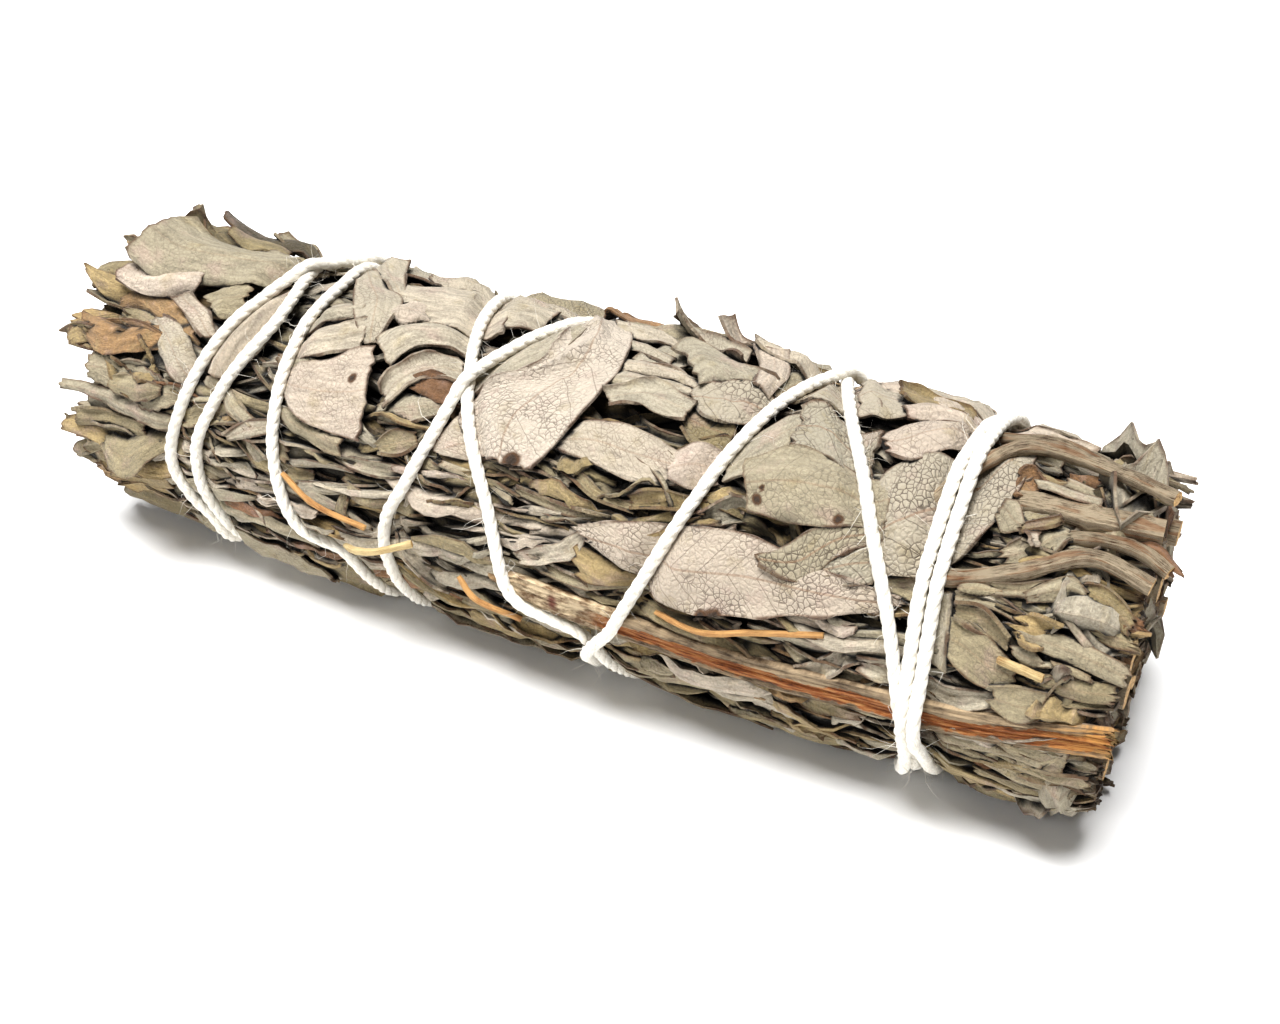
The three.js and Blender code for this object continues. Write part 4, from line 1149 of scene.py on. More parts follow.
        back=[(61.4, 47), (63.5, 47), (65.4, 48)], front=[(62, 52), (64, 53), (65.6, 52)], level=0.2,
        dome=0.4, tone=0.56, ragged=1.4, crumple=0.8),
    "brownEnd": dict(
        back=[(62.6, 42), (64.4, 42), (65.8, 43)], front=[(62.8, 46), (64.6, 46), (66, 47)], tone=0.84,
        ragged=1.2, crumple=0.8),
    "orangeEnd": dict(
        back=[(64.2, 48), (66, 47)], front=[(64.4, 53), (66.2, 53)], level=-0.1, tone=0.75, ragged=1.4,
        faces=(12, 8)),
    "spoon": dict(
        back=[(59, 61), (61, 61), (62.8, 62)], front=[(59.4, 62.6), (61.2, 63.6), (63, 64)], level=1.1,
        dome=0.8, tone=0.51, frill=0.1),
    "stripLow": dict(
        back=[(58, 66), (61.7, 64), (65.2, 63)], front=[(58.4, 70.6), (62.2, 71), (65.2, 69)], level=0.4,
        dome=0.7, tone=0.55, ragged=1.2, frill=0.5),
    "netStrip": dict(
        back=[(49, 57.6), (51, 57), (53.3, 60), (56.2, 66)],
        front=[(49.6, 69), (51.4, 72), (53.6, 75), (56.4, 73)], level=0.6, dome=0.2, tone=0.52, net=0.35,
        faces=(26, 14)),
    "squareGrey": dict(
        back=[(54.8, 73.4), (56.9, 71), (59.4, 71)], front=[(54.6, 80), (57.4, 82.6), (59.4, 79)],
        level=0.9, dome=0.2, tone=0.51, ragged=0.9, frill=0.4),
    "fanLow": dict(
        back=[(55.2, 92), (58.8, 91), (62.4, 88)], front=[(56, 94), (59.3, 98.6), (62.2, 97)], level=0.5,
        dome=0.2, tone=0.51, net=0.2),
    "stripLowA": dict(
        back=[(49, 96), (52.6, 95), (56, 94), (60.4, 95)],
        front=[(49.4, 99), (52.6, 99), (56, 98), (60.2, 99)], level=0.5, fold=0.8, tone=0.47, frill=0.4),
    "stripLowB": dict(
        back=[(57.6, 99), (61, 98), (64.6, 96)], front=[(58.4, 103), (61.1, 103), (64.4, 102)], level=0.5,
        fold=0.6, tone=0.51, ragged=1.0),
    "stripLowC": dict(
        back=[(50, 100), (54, 100), (58, 102), (63.6, 105)],
        front=[(50.4, 103), (54, 104), (58, 108), (63.2, 110)], level=0.4, dome=0.9, tone=0.51, ragged=0.9,
        frill=0.4),
    "stripLowD": dict(
        back=[(54, 108), (58, 111), (63, 113)], front=[(54, 113), (58, 117), (62.6, 121)], dome=0.7,
        tone=0.58, ragged=1.0, frill=0.4),
}

allOuter = list(outerLeaves.values())
splitAt = len(allOuter) // 2
for pieceName, some in (("outerLeavesTip", allOuter[:splitAt]), ("outerLeavesCut", allOuter[splitAt:])):
    finishLeaves(joinSheets(pieceName, some), sheetTree, {}, 0.34)
print("outer leaves laid")


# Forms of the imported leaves, with their usual width; what is missing is a plain leaf's
leafShapes = {
    "ridged": {"fold": 1.0, "width": 3.4},
    "troughed": {"fold": -1.1, "width": 3.6},
    "rolled": {"dome": 2.6, "width": 4.8},
    "hooked": {"dome": 0.4, "curlFront": 3.2, "curlFrom": 0.1, "width": 4.2},
    "cupped": {"dome": -1.5, "width": 3.6},
    "twisted": {"twist": 1.1, "fold": 0.5, "width": 3.2},
    "doubled": {"fold": 1.35, "foldAt": 0.2, "width": 4.4},
    "rimmed": {"curlFront": -2.2, "curlBack": -2.0, "curlFrom": 0.45, "width": 4.2},
}
broadShapesOf = {
    "open": {"dome": 0.15, "width": 10.0},
    "creased": {"fold": 0.3, "width": 9.0},
    "curledEdge": {"curlFront": 1.6, "curlFrom": 0.6, "width": 9.5},
}
tipShapesOf = {
    "open": {"dome": 0.4, "width": 5.0, "teeth": 0.5, "ragged": 1.4},
    "creased": {"fold": 0.6, "width": 5.0, "teeth": 0.4, "ragged": 1.2},
    "curled": {"curlFront": 2.0, "curlBack": 0.9, "width": 5.6, "ragged": 1.2},
    "twisted": {"twist": 0.9, "fold": -0.4, "width": 4.6, "teeth": 0.5, "ragged": 1.4},
}


def shapeCollection(name, given):
    forms, length, seed = list(given["forms"].values()), given["length"], given["seed"]
    ends = given.get("ends", (0.35, 0.45))  # widths at the tip and the base, as shares of the middle's
    draw = np.random.default_rng(seed)
    shapes = bpy.data.collections.new(name)
    for k in range(given["perForm"] * len(forms)):
        form = dict(forms[k % len(forms)])
        wide = form.pop("width") / 2
        xs = np.linspace(-length / 2, length / 2, 8)
        along = 2 * xs / length
        tip, base = ends[0] * draw.uniform(0.5, 1.4), ends[1] * draw.uniform(0.6, 1.4)
        fullness = np.interp(
            along, (-1, -0.6, -0.1, 0.5, 1), (tip, mix(tip, 1, 0.8), 1, mix(base, 1, 0.8), base)
        )
        widths = wide * fullness * draw.uniform(0.86, 1.1, 8)
        rib = draw.uniform(-2.4, 2.4) * (1 - along**2) + draw.uniform(-1.3, 1.3) * np.sin(math.pi * along)
        rib *= min(1.0, 4.0 / wide)
        leaf = {
            "back": list(zip(xs, rib + widths)), "front": list(zip(xs, rib - widths)), "level": 0.0,
            "faces": given["faces"], "lift": (draw.uniform(-1.4, 0.5), draw.uniform(-1.4, 0.3)),
            "crumple": 0.8, "ragged": 0.7, "frill": 0.5, **form,
        }
        points, quads, uv, marks = sheetOf(leaf, seed + k)
        made = meshObject(f"{name}{k:02d}", points, quads, values={"rim": ("FLOAT", marks["rim"])}, uv=uv)
        moveTo(made, shapes)
    return shapes


def leafPoints(name, places):
    points = [(p["x"], flatArc(p["angle"]), p["level"]) for p in places]
    poses = [(p["roll"], p["pitch"], -math.radians(p["turn"])) for p in places]
    kinds = {"shape": "INT", "size": "FLOAT_VECTOR", "tone": "FLOAT", "net": "FLOAT"}
    values = {trait: (kind, [p[trait] for p in places]) for trait, kind in kinds.items()}
    return meshObject(name, points, values={"pose": ("FLOAT_VECTOR", poses), **values})


# Sets of leaf shapes: their forms, how many of each, length and usual width in mm, faces and seed
shapeSets = {
    "deep": {"forms": leafShapes, "perForm": 3, "length": 20.0, "width": 3.4, "faces": (9, 4), "seed": 17},
    "narrow": {"forms": leafShapes, "perForm": 4, "length": 20.0, "width": 3.4, "faces": (12, 5), "seed": 41},
    "broad": {
        "forms": broadShapesOf, "perForm": 3, "length": 24.0, "width": 10.0, "faces": (18, 10), "seed": 77,
        "ends": (0.4, 0.6),
    },
    "tip": {
        "forms": tipShapesOf, "perForm": 4, "length": 20.0, "width": 5.0, "faces": (10, 5), "seed": 97,
        "ends": (0.45, 0.8),
    },
}
for setName, shapeSet in shapeSets.items():
    shapeSet["shapes"] = shapeCollection(setName + "Shape", shapeSet)

# Bands of leaves round the bunch: how many, between which angles, how long and wide they are, how far
# they stray from the bunch's own way, how high they lie, their tones and their veins
bandTraits = ("kind", "count", "angles", "reach", "length", "width", "stray", "level", "tone", "net")
leafBands = {
    "underLeavesBroad": [
        ("broad", 32, (132, 238), (-36, 47), (20, 27), (8, 12), 14, (-0.4, 0.6), (0.3, 0.62), (0.3, 0.8)),
    ],
    "underLeaves": [
        ("deep", 90, (126, 240), (-42, 57), (15, 24), (2.6, 3.8), 12, (-1.8, -0.8), (0.34, 0.66), (0, 0.3)),
        ("narrow", 120, (126, 240), (-44, 59), (9, 20), (1.3, 2.6), 18, (-1.8, -0.6), (0.34, 0.66), (0, 0.3)),
    ],
    "backLeavesBroad": [
        ("broad", 36, (240, 338), (-38, 52), (14, 24), (5.5, 10), 36, (0.0, 1.2), (0.08, 0.5), (0.2, 1.0)),
    ],
    "backLeaves": [
        ("deep", 100, (236, 338), (-42, 57), (14, 22), (2.6, 4.0), 16, (-2.0, -0.9), (0.3, 0.66), (0, 0.4)),
        ("narrow", 150, (236, 338), (-44, 59), (8, 20), (1.4, 3.2), 24, (-1.9, -0.5), (0.16, 0.66), (0, 0.5)),
    ],
    "frontLeavesUnder": [
        ("deep", 130, (56, 132), (-44, 59), (14, 22), (2.6, 4.0), 12, (-2.8, -1.8), (0.36, 0.66), (0, 0.2)),
        ("narrow", 90, (58, 130), (-44, 59), (12, 22), (1.8, 3.2), 14, (-2.4, -1.3), (0.44, 0.66), (0, 0.3)),
    ],
    "frontLeaves": [
        ("narrow", 120, (58, 132), (-45, 59), (10, 20), (1.5, 3.0), 16, (-1.5, -0.1), (0.14, 0.62), (0, 0.3)),
        ("narrow", 90, (60, 130), (-44, 58), (5, 12), (1.0, 2.4), 38, (-1.0, 0.2), (0.12, 0.66), (0, 0.2)),
    ],
    "hollowLeaves": [
        ("narrow", 44, (42, 64), (-28, 26), (6, 13), (1.6, 3.2), 40, (-1.7, -0.7), (0.34, 0.72), (0, 0.3)),
        ("narrow", 36, (26, 60), (2, 52), (6, 13), (1.4, 3.0), 40, (-1.9, -0.9), (0.34, 0.72), (0, 0.3)),
    ],
    "topLeaves": [
        ("deep", 80, (-28, 60), (-44, 60), (12, 20), (2.6, 4.2), 20, (-3.0, -2.0), (0.36, 0.7), (0, 0.3)),
        ("narrow", 150, (-28, 62), (-44, 60), (8, 18), (1.4, 3.2), 28, (-2.7, -1.5), (0.2, 0.66), (0, 0.5)),
    ],
    "cutLeavesRound": [
        ("narrow", 80, (18, 70), (50, 62.5), (6, 13), (1.2, 2.8), 16, (-2.2, -0.6), (0.26, 0.6), (0, 0.3)),
        ("narrow", 110, (66, 132), (50, 62.5), (6, 13), (1.2, 2.8), 20, (-2.0, -0.2), (0.26, 0.62), (0, 0.3)),
    ],
}


# Shares of two ranges that, stepped through together, fill them evenly
evenSteps = 0.7548777, 0.5698403
lowFront = {"angle": 120, "width": 30, "darker": 0.004}  # leaves are browner near this angle


def bandPlaces(band, draw):
    shapeSet, flat = shapeSets[band["kind"]], band["kind"] == "broad"
    places = []
    for i in range(band["count"]):
        length = draw.uniform(*band["length"])
        x = mix(*band["reach"], (i * evenSteps[0] + draw.uniform(0, 0.04)) % 1)
        wide = draw.uniform(*band["width"]) / shapeSet["width"]
        places.append({
            "x": min(x, bunch["cutEnd"] - length / 2 + 0.6),
            "angle": mix(*band["angles"], (i * evenSteps[1] + draw.uniform(0, 0.04)) % 1),
            "level": draw.uniform(*band["level"]),
            "shape": int(draw.integers(len(shapeSet["shapes"].objects))),
            "turn": draw.normal() * band["stray"] * 0.6 + draw.choice((0, 180)),
            "roll": np.clip(draw.normal() * (0.12 if flat else 0.5), -0.9, 0.9),
            "pitch": draw.normal() * (0.03 if flat else 0.05),
            "size": (length / shapeSet["length"], wide, 1.0 if flat else wide),
            "tone": draw.uniform(0.7, 0.82) if draw.uniform() < 0.05 else draw.uniform(*band["tone"]),
            "net": draw.uniform(*band["net"]),
        })
        near = lowFront["width"] - abs(places[-1]["angle"] - lowFront["angle"])
        places[-1]["tone"] += lowFront["darker"] * max(0, near)
    return places


ceilings = {"broad": 3.0, "narrow": 0.7, "deep": -0.8}  # heights that each kind stays under
topLowered = 0.6  # the top's ceilings are this much lower, under the outer leaves

for seed, (bandName, rows) in enumerate(leafBands.items()):
    bands = [dict(zip(bandTraits, row)) for row in rows]
    for kind in ("deep", "narrow", "broad"):
        draw = np.random.default_rng(300 + seed)
        places = [place for band in bands if band["kind"] == kind for place in bandPlaces(band, draw)]
        if places:
            layer = leafPoints(bandName + ("" if bandName.endswith("Broad") else kind.capitalize()), places)
            ceiling = ceilings[kind] - (topLowered if bandName == "topLeaves" else 0)
            inputs = {"Leaf shapes": shapeSets[kind]["shapes"], "Ceiling": ceiling}
            finishLeaves(layer, layerTree, inputs, 0.3)
print("leaf bands packed")


tipFan = {
    "kind": "tip",
    "towards": -1,
    "count": 260,
    "reach": (-60.5, -49),
    "length": (12, 18),
    "width": (2.4, 5.2),
    "splay": (0.4, 2.6),
    "farthest": 15.4,
    "stray": 12,
    "roll": 0.5,
    "tone": (0.38, 0.66),
}
cutFace = {
    "kind": "deep",
    "towards": 1,
    "count": 420,
    "reach": (62.2, 64.8),
    "length": (6, 8),
    "width": (2.6, 6.4),
    "splay": (0, 0),
    "farthest": 16.8,
    "stray": 5,
    "roll": 0.3,
    "tone": (0.2, 0.6),
}
goldenAngle = 137.508  # from each leaf of an end to the next


def endPlaces(end, seed):
    draw = np.random.default_rng(seed)
    shapeSet = shapeSets[end["kind"]]
    places = []
    for i in range(end["count"]):
        spread = math.sqrt((i + 0.5) / end["count"])
        length, wide = draw.uniform(*end["length"]), draw.uniform(*end["width"]) / shapeSet["width"]
        tip = mix(*end["reach"], draw.uniform() * (mix(0.4, 1, spread) if end["towards"] < 0 else 1))
        distance = max(spread * end["farthest"] + draw.uniform(-0.6, 0.6), 1.0)
        x = tip - end["towards"] * length / 2
        rise = draw.uniform(*end["splay"]) * spread
        places.append({
            "x": x,
            "angle": (i * goldenAngle) % 360,
            "level": distance + rise / 2 - girth(x) + bunch["leafLevel"],
            "shape": int(draw.integers(len(shapeSet["shapes"].objects))),
            "turn": draw.normal() * end["stray"] * 0.7,
            "roll": draw.normal() * end["roll"],
            "pitch": rise / length + draw.normal() * 0.03,
            "size": (length / shapeSet["length"], wide * bunch["ringRadius"] / max(distance, 3.0), wide),
            "tone": draw.uniform(*end["tone"]) if draw.uniform() < 0.78 else draw.uniform(0.68, 0.84),
            "net": draw.uniform(0, 0.4),
        })
    return places


for pieceName, end, seed in (("tipLeaves", tipFan, 5303), ("cutLeaves", cutFace, 911)):
    # the leaves of the ends get no painted depth shade
    ended = {"Leaf shapes": shapeSets[end["kind"]]["shapes"], "Shading": 0.0}
    finishLeaves(leafPoints(pieceName, endPlaces(end, seed)), layerTree, ended, 0.28)
print("both ends packed")


def makeCore():
    rows, columns = packedCore["rows"], packedCore["columns"]
    points = []
    for i in range(rows + 1):
        x = mix(packedCore["from"], packedCore["to"], i / rows)
        opened = 1 - max(0.0, 1 - i / packedCore["closingRows"]) ** 2
        closing = math.sqrt(max(0.0, opened)) * (1.0 if i < rows else 0.93)
        for j in range(columns):
            angle = 360 * j / columns
            y, z = math.cos(math.radians(angle)), math.sin(math.radians(angle))
            lump = noise.noise(Vector((x * 0.12, y * 3, z * 3)))
            ridge = noise.noise(Vector((x * 0.15, y * 9, z * 9)))
            radius = (girth(x) - packedCore["below"] + 0.7 * lump + 0.8 * ridge) * closing
            points.append(roundBunch(x, angle, max(radius, 0.2)))
    faces = ringFaces(rows, columns)
    faces.append(list(range(columns))[::-1])
    faces.append([rows * columns + j for j in range(columns)])
    made = meshObject("packedCore", points, faces)
    made.data.materials.append(coreMaterial)
    return stands(settle(made), "leaves", "leaf_bunch")


makeCore()


# Painted shade between the leaves: how shut in each place is, felt with a few short rays, darkens its colour
crevices = {"reach": 0.0032, "lean": 0.9, "rays": 5, "off": 0.00008, "seed": 77}


def cornersOf(part):
    corners = np.zeros(len(part.data.vertices) * 3)
    part.data.vertices.foreach_get("co", corners)
    return corners.reshape(-1, 3)


def surfaceOf(parts):
    points, faces = [], []
    for part in parts:
        start = len(points)
        points += list(map(tuple, cornersOf(part)))
        faces += [[start + v for v in face.vertices] for face in part.data.polygons]
    return BVHTree.FromPolygons(points, faces)


def feelCrevices():
    parts = [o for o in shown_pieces() if o.get("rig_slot") == "leaves"]
    surface = surfaceOf(parts)
    draw = np.random.default_rng(crevices["seed"])
    reach, cast = crevices["reach"], surface.ray_cast
    for part in parts:
        count = len(part.data.vertices)
        corners = cornersOf(part)
        normals = np.zeros(count * 3)
        part.data.vertex_normals.foreach_get("vector", normals)
        normals = normals.reshape(-1, 3)
        shut = np.zeros(count)
        for ray in range(crevices["rays"]):
            lean = draw.normal(size=(count, 3))
            lean -= (lean * normals).sum(1)[:, None] * normals
            lean /= np.maximum(np.linalg.norm(lean, axis=1), 1e-6)[:, None]
            ways = normals + (0 if ray == 0 else crevices["lean"]) * lean
            ways /= np.linalg.norm(ways, axis=1)[:, None]
            starts = corners + normals * crevices["off"] + ways * crevices["off"]
            for i, (start, way) in enumerate(zip(starts.tolist(), ways.tolist())):
                far = cast(start, way, reach)[3]
                if far is not None:
                    shut[i] += 1 - 0.5 * far / reach
        shut /= crevices["rays"]
        # how shut in each place is, for the painted crevice shade
        part.data.attributes.new("crevice", "FLOAT", "POINT").data.foreach_set("value", shut)


feelCrevices()
print("crevices felt")


# Woody stems: x, angle and distance from the centre line at points along each, in mm
stems = {
    "stem_thick": {
        "radius": 1.28,
        "way": [(32, 20, 14), (44, 17, 15.6), (53, 16, 17.6), (59, 16.5, 18.2), (65, 14.5, 18)],
        "rings": [58.6],
    },
    "stem_arched": {
        "radius": 0.74,
        "way": [
            (43, 30, 16.8), (45.8, 17, 18.7), (49.4, 2, 19.5), (52, -1, 19.8), (58.6, 3, 20.4),
            (65.4, 9, 20.8),
        ],
    },
    "stem_tan": {
        "radius": 0.86,
        "way": [(42, 50, 16), (49, 46, 18), (54, 40, 18.8), (60, 30.5, 19), (65.6, 33.5, 18.6)],
    },
    "stem_top": {
        "radius": 0.6,
        "way": [(40, -14, 16.4), (48, -9, 18.4), (53, -12, 18.8), (58, -5, 18.9), (64.6, 1, 18.8)],
    },
    "stem_hooked": {
        "radius": 0.74,
        "way": [(46, 27, 15), (54, 25, 16.6), (61, 22.5, 18), (64, 23.5, 18), (66.6, 27, 17.8)],
    },
}
# Stems inside, which show only as cut ends: radius, x from and to, angle and distance
innerStems = {
    "a": (1.7, -18, 64.9, 112, 5.2), "b": (1.4, -12, 64.4, 206, 7), "c": (1.5, -18, 64.7, 305, 6.5),
    "d": (1.2, 0, 65.2, 58, 10.6), "e": (1.3, 0, 64.6, 150, 12.6), "f": (1.1, 4, 64.9, 253, 12.8),
    "g": (1.3, 2, 65.4, 338, 12.2), "h": (1.1, 10, 64.7, 98, 13.4),
}
twigs = {
    "twig_orange": {"radius": 0.32, "way": [(-24.5, 76, 18.8), (-20.4, 82.5, 19.2), (-13.8, 86.5, 18.9)]},
    "twig_straw": {
        "radius": 0.4, "way": [(-17, 98, 18.6), (-13.9, 92, 20.6), (-11.6, 90, 20.7), (-8, 87, 18.8)]
    },
    "twig_long": {
        "radius": 0.3, "way": [(20.5, 83.5, 18.8), (25.5, 84.3, 19.4), (31, 79, 19.4), (38, 73.6, 18.9)]
    },
    "twig_bent": {"radius": 0.32, "way": [(-2.6, 95, 18.6), (-0.6, 101, 19.2), (4.6, 106, 18.8)]},
    "twig_short": {"radius": 0.42, "way": [(54.4, 65, 18.9), (58.8, 66.5, 19.0)]},
}


def makeStemTree():
    tree, given, result = newTree(
        "stemAlongWay",
        [
            ("Sides", "Int", 18), ("Unevenness", "Float", 0.12), ("Seed", "Float", 0.0),
            ("Finish", "Material", None),
        ],
    )
    line = nodeOut(tree, "GeometryNodeMeshToCurve", {"Mesh": given["Geometry"]})
    along = times(tree, addNode(tree, "GeometryNodeSplineParameter").outputs["Length"], 1000.0)
    line = store(tree, line, "alongStem", along)
    ring = nodeOut(tree, "GeometryNodeCurvePrimitiveCircle", {"Resolution": given["Sides"], "Radius": 1.0})
    ring = store(tree, ring, "roundStem", addNode(tree, "GeometryNodeSplineParameter").outputs["Factor"])
    inputs = {"Curve": line, "Profile Curve": ring, "Scale": named(tree, "thick"), "Fill Caps": True}
    tube = nodeOut(tree, "GeometryNodeCurveToMesh", inputs)
    turn = times(tree, named(tree, "roundStem"), 2 * math.pi)
    seeded = calc(tree, "MULTIPLY_ADD", named(tree, "alongStem"), 0.16, given["Seed"])
    coordinate = ringWay(tree, turn, seeded, 1.2)
    swell = minus(tree, noiseOf(tree, coordinate, 1.3, 3.0, 0.6), 0.5)
    push = times(tree, times(tree, swell, given["Unevenness"]), 0.002)
    normal = nodeOut(tree, "GeometryNodeInputNormal")
    inputs = {"Geometry": tube, "Offset": vectorCalc(tree, "SCALE", normal, push)}
    endTree(tree, nodeOut(tree, "GeometryNodeSetPosition", inputs), given["Finish"], result)
    return tree


stemTree = makeStemTree()


def makeStem(name, radius, way, finish, slot, seed, samples, rings=(), unevenness=0.2):
    places = [roundBunch(*place) for place in way]
    points = smoothWay([tuple(p) for p in places], samples)
    thick = []
    for i, point in enumerate(points):
        share = i / (len(points) - 1)
        x = point[0] * 1000 - bunch["shift"][0]
        ring = sum(0.16 * math.exp(-((x - at) / 0.35) ** 2) for at in rings)
        ring += 0.1 * noise.noise(Vector((share * 17, seed, 5)))
        taper = 1 - 0.25 * max(0, 0.08 - share) / 0.08
        thick.append(radius * 0.001 * taper * (1 + ring + 0.06 * noise.noise(Vector((share * 6, seed, 0)))))
    surface = "Bark" if slot == "bark" else "Straw"
    made = meshObject(
        name + surface, points, edges=chainEdges(len(points)), values={"thick": ("FLOAT", thick)}
    )
    addTree(made, stemTree, {"Finish": finish, "Seed": float(seed), "Unevenness": unevenness})
    settle(made, 45)
    made.data.materials.append(grainMaterial)
    for face in made.data.polygons:
        if len(face.vertices) > 4:
            face.material_index = 1
            face.use_smooth = False
    return stands(made, slot, name)


for seed, (name, stem) in enumerate(stems.items()):
    makeStem(name, stem["radius"], stem["way"], barkMaterial, "bark", seed, 90, stem.get("rings", ()))
for seed, (letter, (radius, start, end, angle, distance)) in enumerate(innerStems.items()):
    way = [(mix(start, end, k / 3), angle, distance) for k in range(4)]
    makeStem("stem_inner_" + letter, radius, way, barkMaterial, "bark", 20 + seed, 16)
for seed, (name, twig) in enumerate(twigs.items()):
    finish = strawMaterial if name in ("twig_straw", "twig_short") else orangeStrawMaterial
    makeStem(name, twig["radius"], twig["way"], finish, "straw", 40 + seed, 30, unevenness=0.16)
print("stems and twigs grown")


splitStem = {
    "width": 3.3,
    "depth": 1.7,
    "way": [
        (3, 91, 18.6), (11, 92.5, 18.8), (30, 94, 18.9), (41.5, 91.5, 18.8), (52, 89, 18.6),
        (65.6, 81, 18.2),
    ],
    "rows": 170,
    "columns": 22,
    "woodFrom": 13,  # length along it where the flaky bark ends and the wood shows
    "wood": [(0.36, tint(78, 42, 24)), (0.5, tint(152, 92, 50)), (0.66, tint(196, 146, 94))],
    "bark": [(0.4, tint(70, 56, 42)), (0.58, tint(168, 148, 120))],
    "flaky": [(0.4, tint(112, 88, 64)), (0.58, tint(204, 184, 152))],
    "markAt": (6.0, 0.15, 0.0),  # length along it and side of a dark scar
    "markColour": tint(96, 40, 34),
    "frayed": (55.0, 61.5),  # length along it over which it frays
    "frayedColour": tint(192, 142, 80),
}


def makeSplitMaterial():
    material, tree, shader = newMaterial("splitWood")
    place = objectPlace(tree)
    along, across = attribute(tree, "alongStem"), attribute(tree, "acrossStem")
    fibre = combine(tree, times(tree, along, 0.12), times(tree, across, 2.6))
    streaks = noiseOf(tree, fibre, 2.4, 5.0, 0.75)
    patches = noiseOf(tree, place, 0.35, 4.0, 0.6)
    flakes = noiseOf(tree, vectorCalc(tree, "MULTIPLY", place, (0.5, 1.0, 1.0)), 0.9, 5.0, 0.7)
    wood = ramp(tree, streaks, splitStem["wood"])
    bark = ramp(tree, plus(tree, times(tree, streaks, 0.5), times(tree, patches, 0.5)), splitStem["bark"])
    flaky = ramp(tree, flakes, splitStem["flaky"])
    woodFrom = splitStem["woodFrom"]
    shown = plus(tree, across, times(tree, minus(tree, patches, 0.5), 1.4))
    middle = ranged(tree, calc(tree, "ABSOLUTE", plus(tree, shown, 0.1)), 0.42, 0.56, 1.0, 0.0)
    core = times(tree, middle, ranged(tree, along, woodFrom - 4, woodFrom))
    leftPart = ranged(tree, along, woodFrom - 2, woodFrom + 2, 1.0, 0.0)
    colour = blend(tree, leftPart, bark, flaky)
    colour = blend(tree, core, colour, wood)
    inputs = {0: combine(tree, along, across), 1: splitStem["markAt"]}
    away = addNode(tree, "ShaderNodeVectorMath", inputs, operation="DISTANCE").outputs["Value"]
    mark = ranged(tree, plus(tree, away, times(tree, streaks, 0.8)), 0.6, 1.2, 0.85, 0.0)
    colour = blend(tree, mark, colour, splitStem["markColour"])
    frayed = ranged(tree, along, *splitStem["frayed"])
    frayed = times(tree, frayed, ranged(tree, streaks, 0.42, 0.6, 0.1, 0.9))
    colour = blend(tree, frayed, colour, splitStem["frayedColour"])
    plug(tree, colour, shader["Base Color"])
    plug(tree, bump(tree, plus(tree, streaks, times(tree, patches, 0.5)), 0.5), shader["Normal"])
    shader["Roughness"].default_value = 0.72
    shader["Specular IOR Level"].default_value = 0.3
    return material


def makeSplitStem():
    rows, columns = splitStem["rows"], splitStem["columns"]
    way = smoothWay(splitStem["way"], rows + 1)
    points, along, across = [], [], []
    for i, (x, angle, distance) in enumerate(way):
        share = i / rows
        wide = splitStem["width"] / 2 * (1 - 0.45 * max(0, 1 - share / 0.05) ** 2)
        wide *= 1 + 0.1 * noise.noise(Vector((share * 9, 2, 0)))
        for j in range(2 * columns):
            outer = j < columns
            c = mix(-1, 1, (j + 0.5) / columns) if outer else mix(1, -1, (j - columns + 0.5) / columns)
            if outer:
                fibre = noise.noise(Vector((share * 5, c * 7, 1.5))) * 0.28
                fibre += noise.noise(Vector((share * 26, c * 3, 7))) * 0.1
                hollow = 0.3 * math.exp(-((c + 0.1) / 0.4) ** 2) * (share > 0.12)
                height = 0.15 + 0.25 * (1 - c * c) - hollow + fibre * (1 - c**8)
            else:
                height = -splitStem["depth"] * (1 - c * c) ** 0.6
            splinter = 1.5 * noise.noise(Vector((c * 5, j * 0.7, 3))) * max(0, (share - 0.93) / 0.07)
            points.append(
                roundBunch(x + splinter, angle - math.degrees(c * wide / distance), distance + height)
            )
            along.append(x - splitStem["way"][0][0])
            across.append(c)
    around = 2 * columns
    faces = [[a, d, c, b] for a, b, c, d in ringFaces(rows, around)]
    faces.append(list(range(around)))
    faces.append([rows * around + j for j in range(around)][::-1])
    values = {"alongStem": ("FLOAT", along), "acrossStem": ("FLOAT", across)}
    made = meshObject("splitStemWood", points, faces, values=values)
    made.data.materials.append(makeSplitMaterial())
    made.data.materials.append(grainMaterial)
    for face in made.data.polygons:
        if len(face.vertices) > 4:
            face.material_index = 1
    settle(made, 60)
    return stands(made, "split_wood", "stem_split")


makeSplitStem()
print("split stem laid")


# The twine lies on the leaves, pulled taut between the places where it touches them
def pullTaut(reach, spans):
    # samples of the strand's distance, each raised to the straight line between two of its neighbours
    for span in spans:
        chord = reach.copy()
        a, b = reach[:-2 * span], reach[2 * span:]
        chord[span:-span] = 2 * a * b * math.cos(math.radians(twine["sampleTurn"] * span)) / (a + b)
        reach = np.maximum(reach, chord)
    return reach


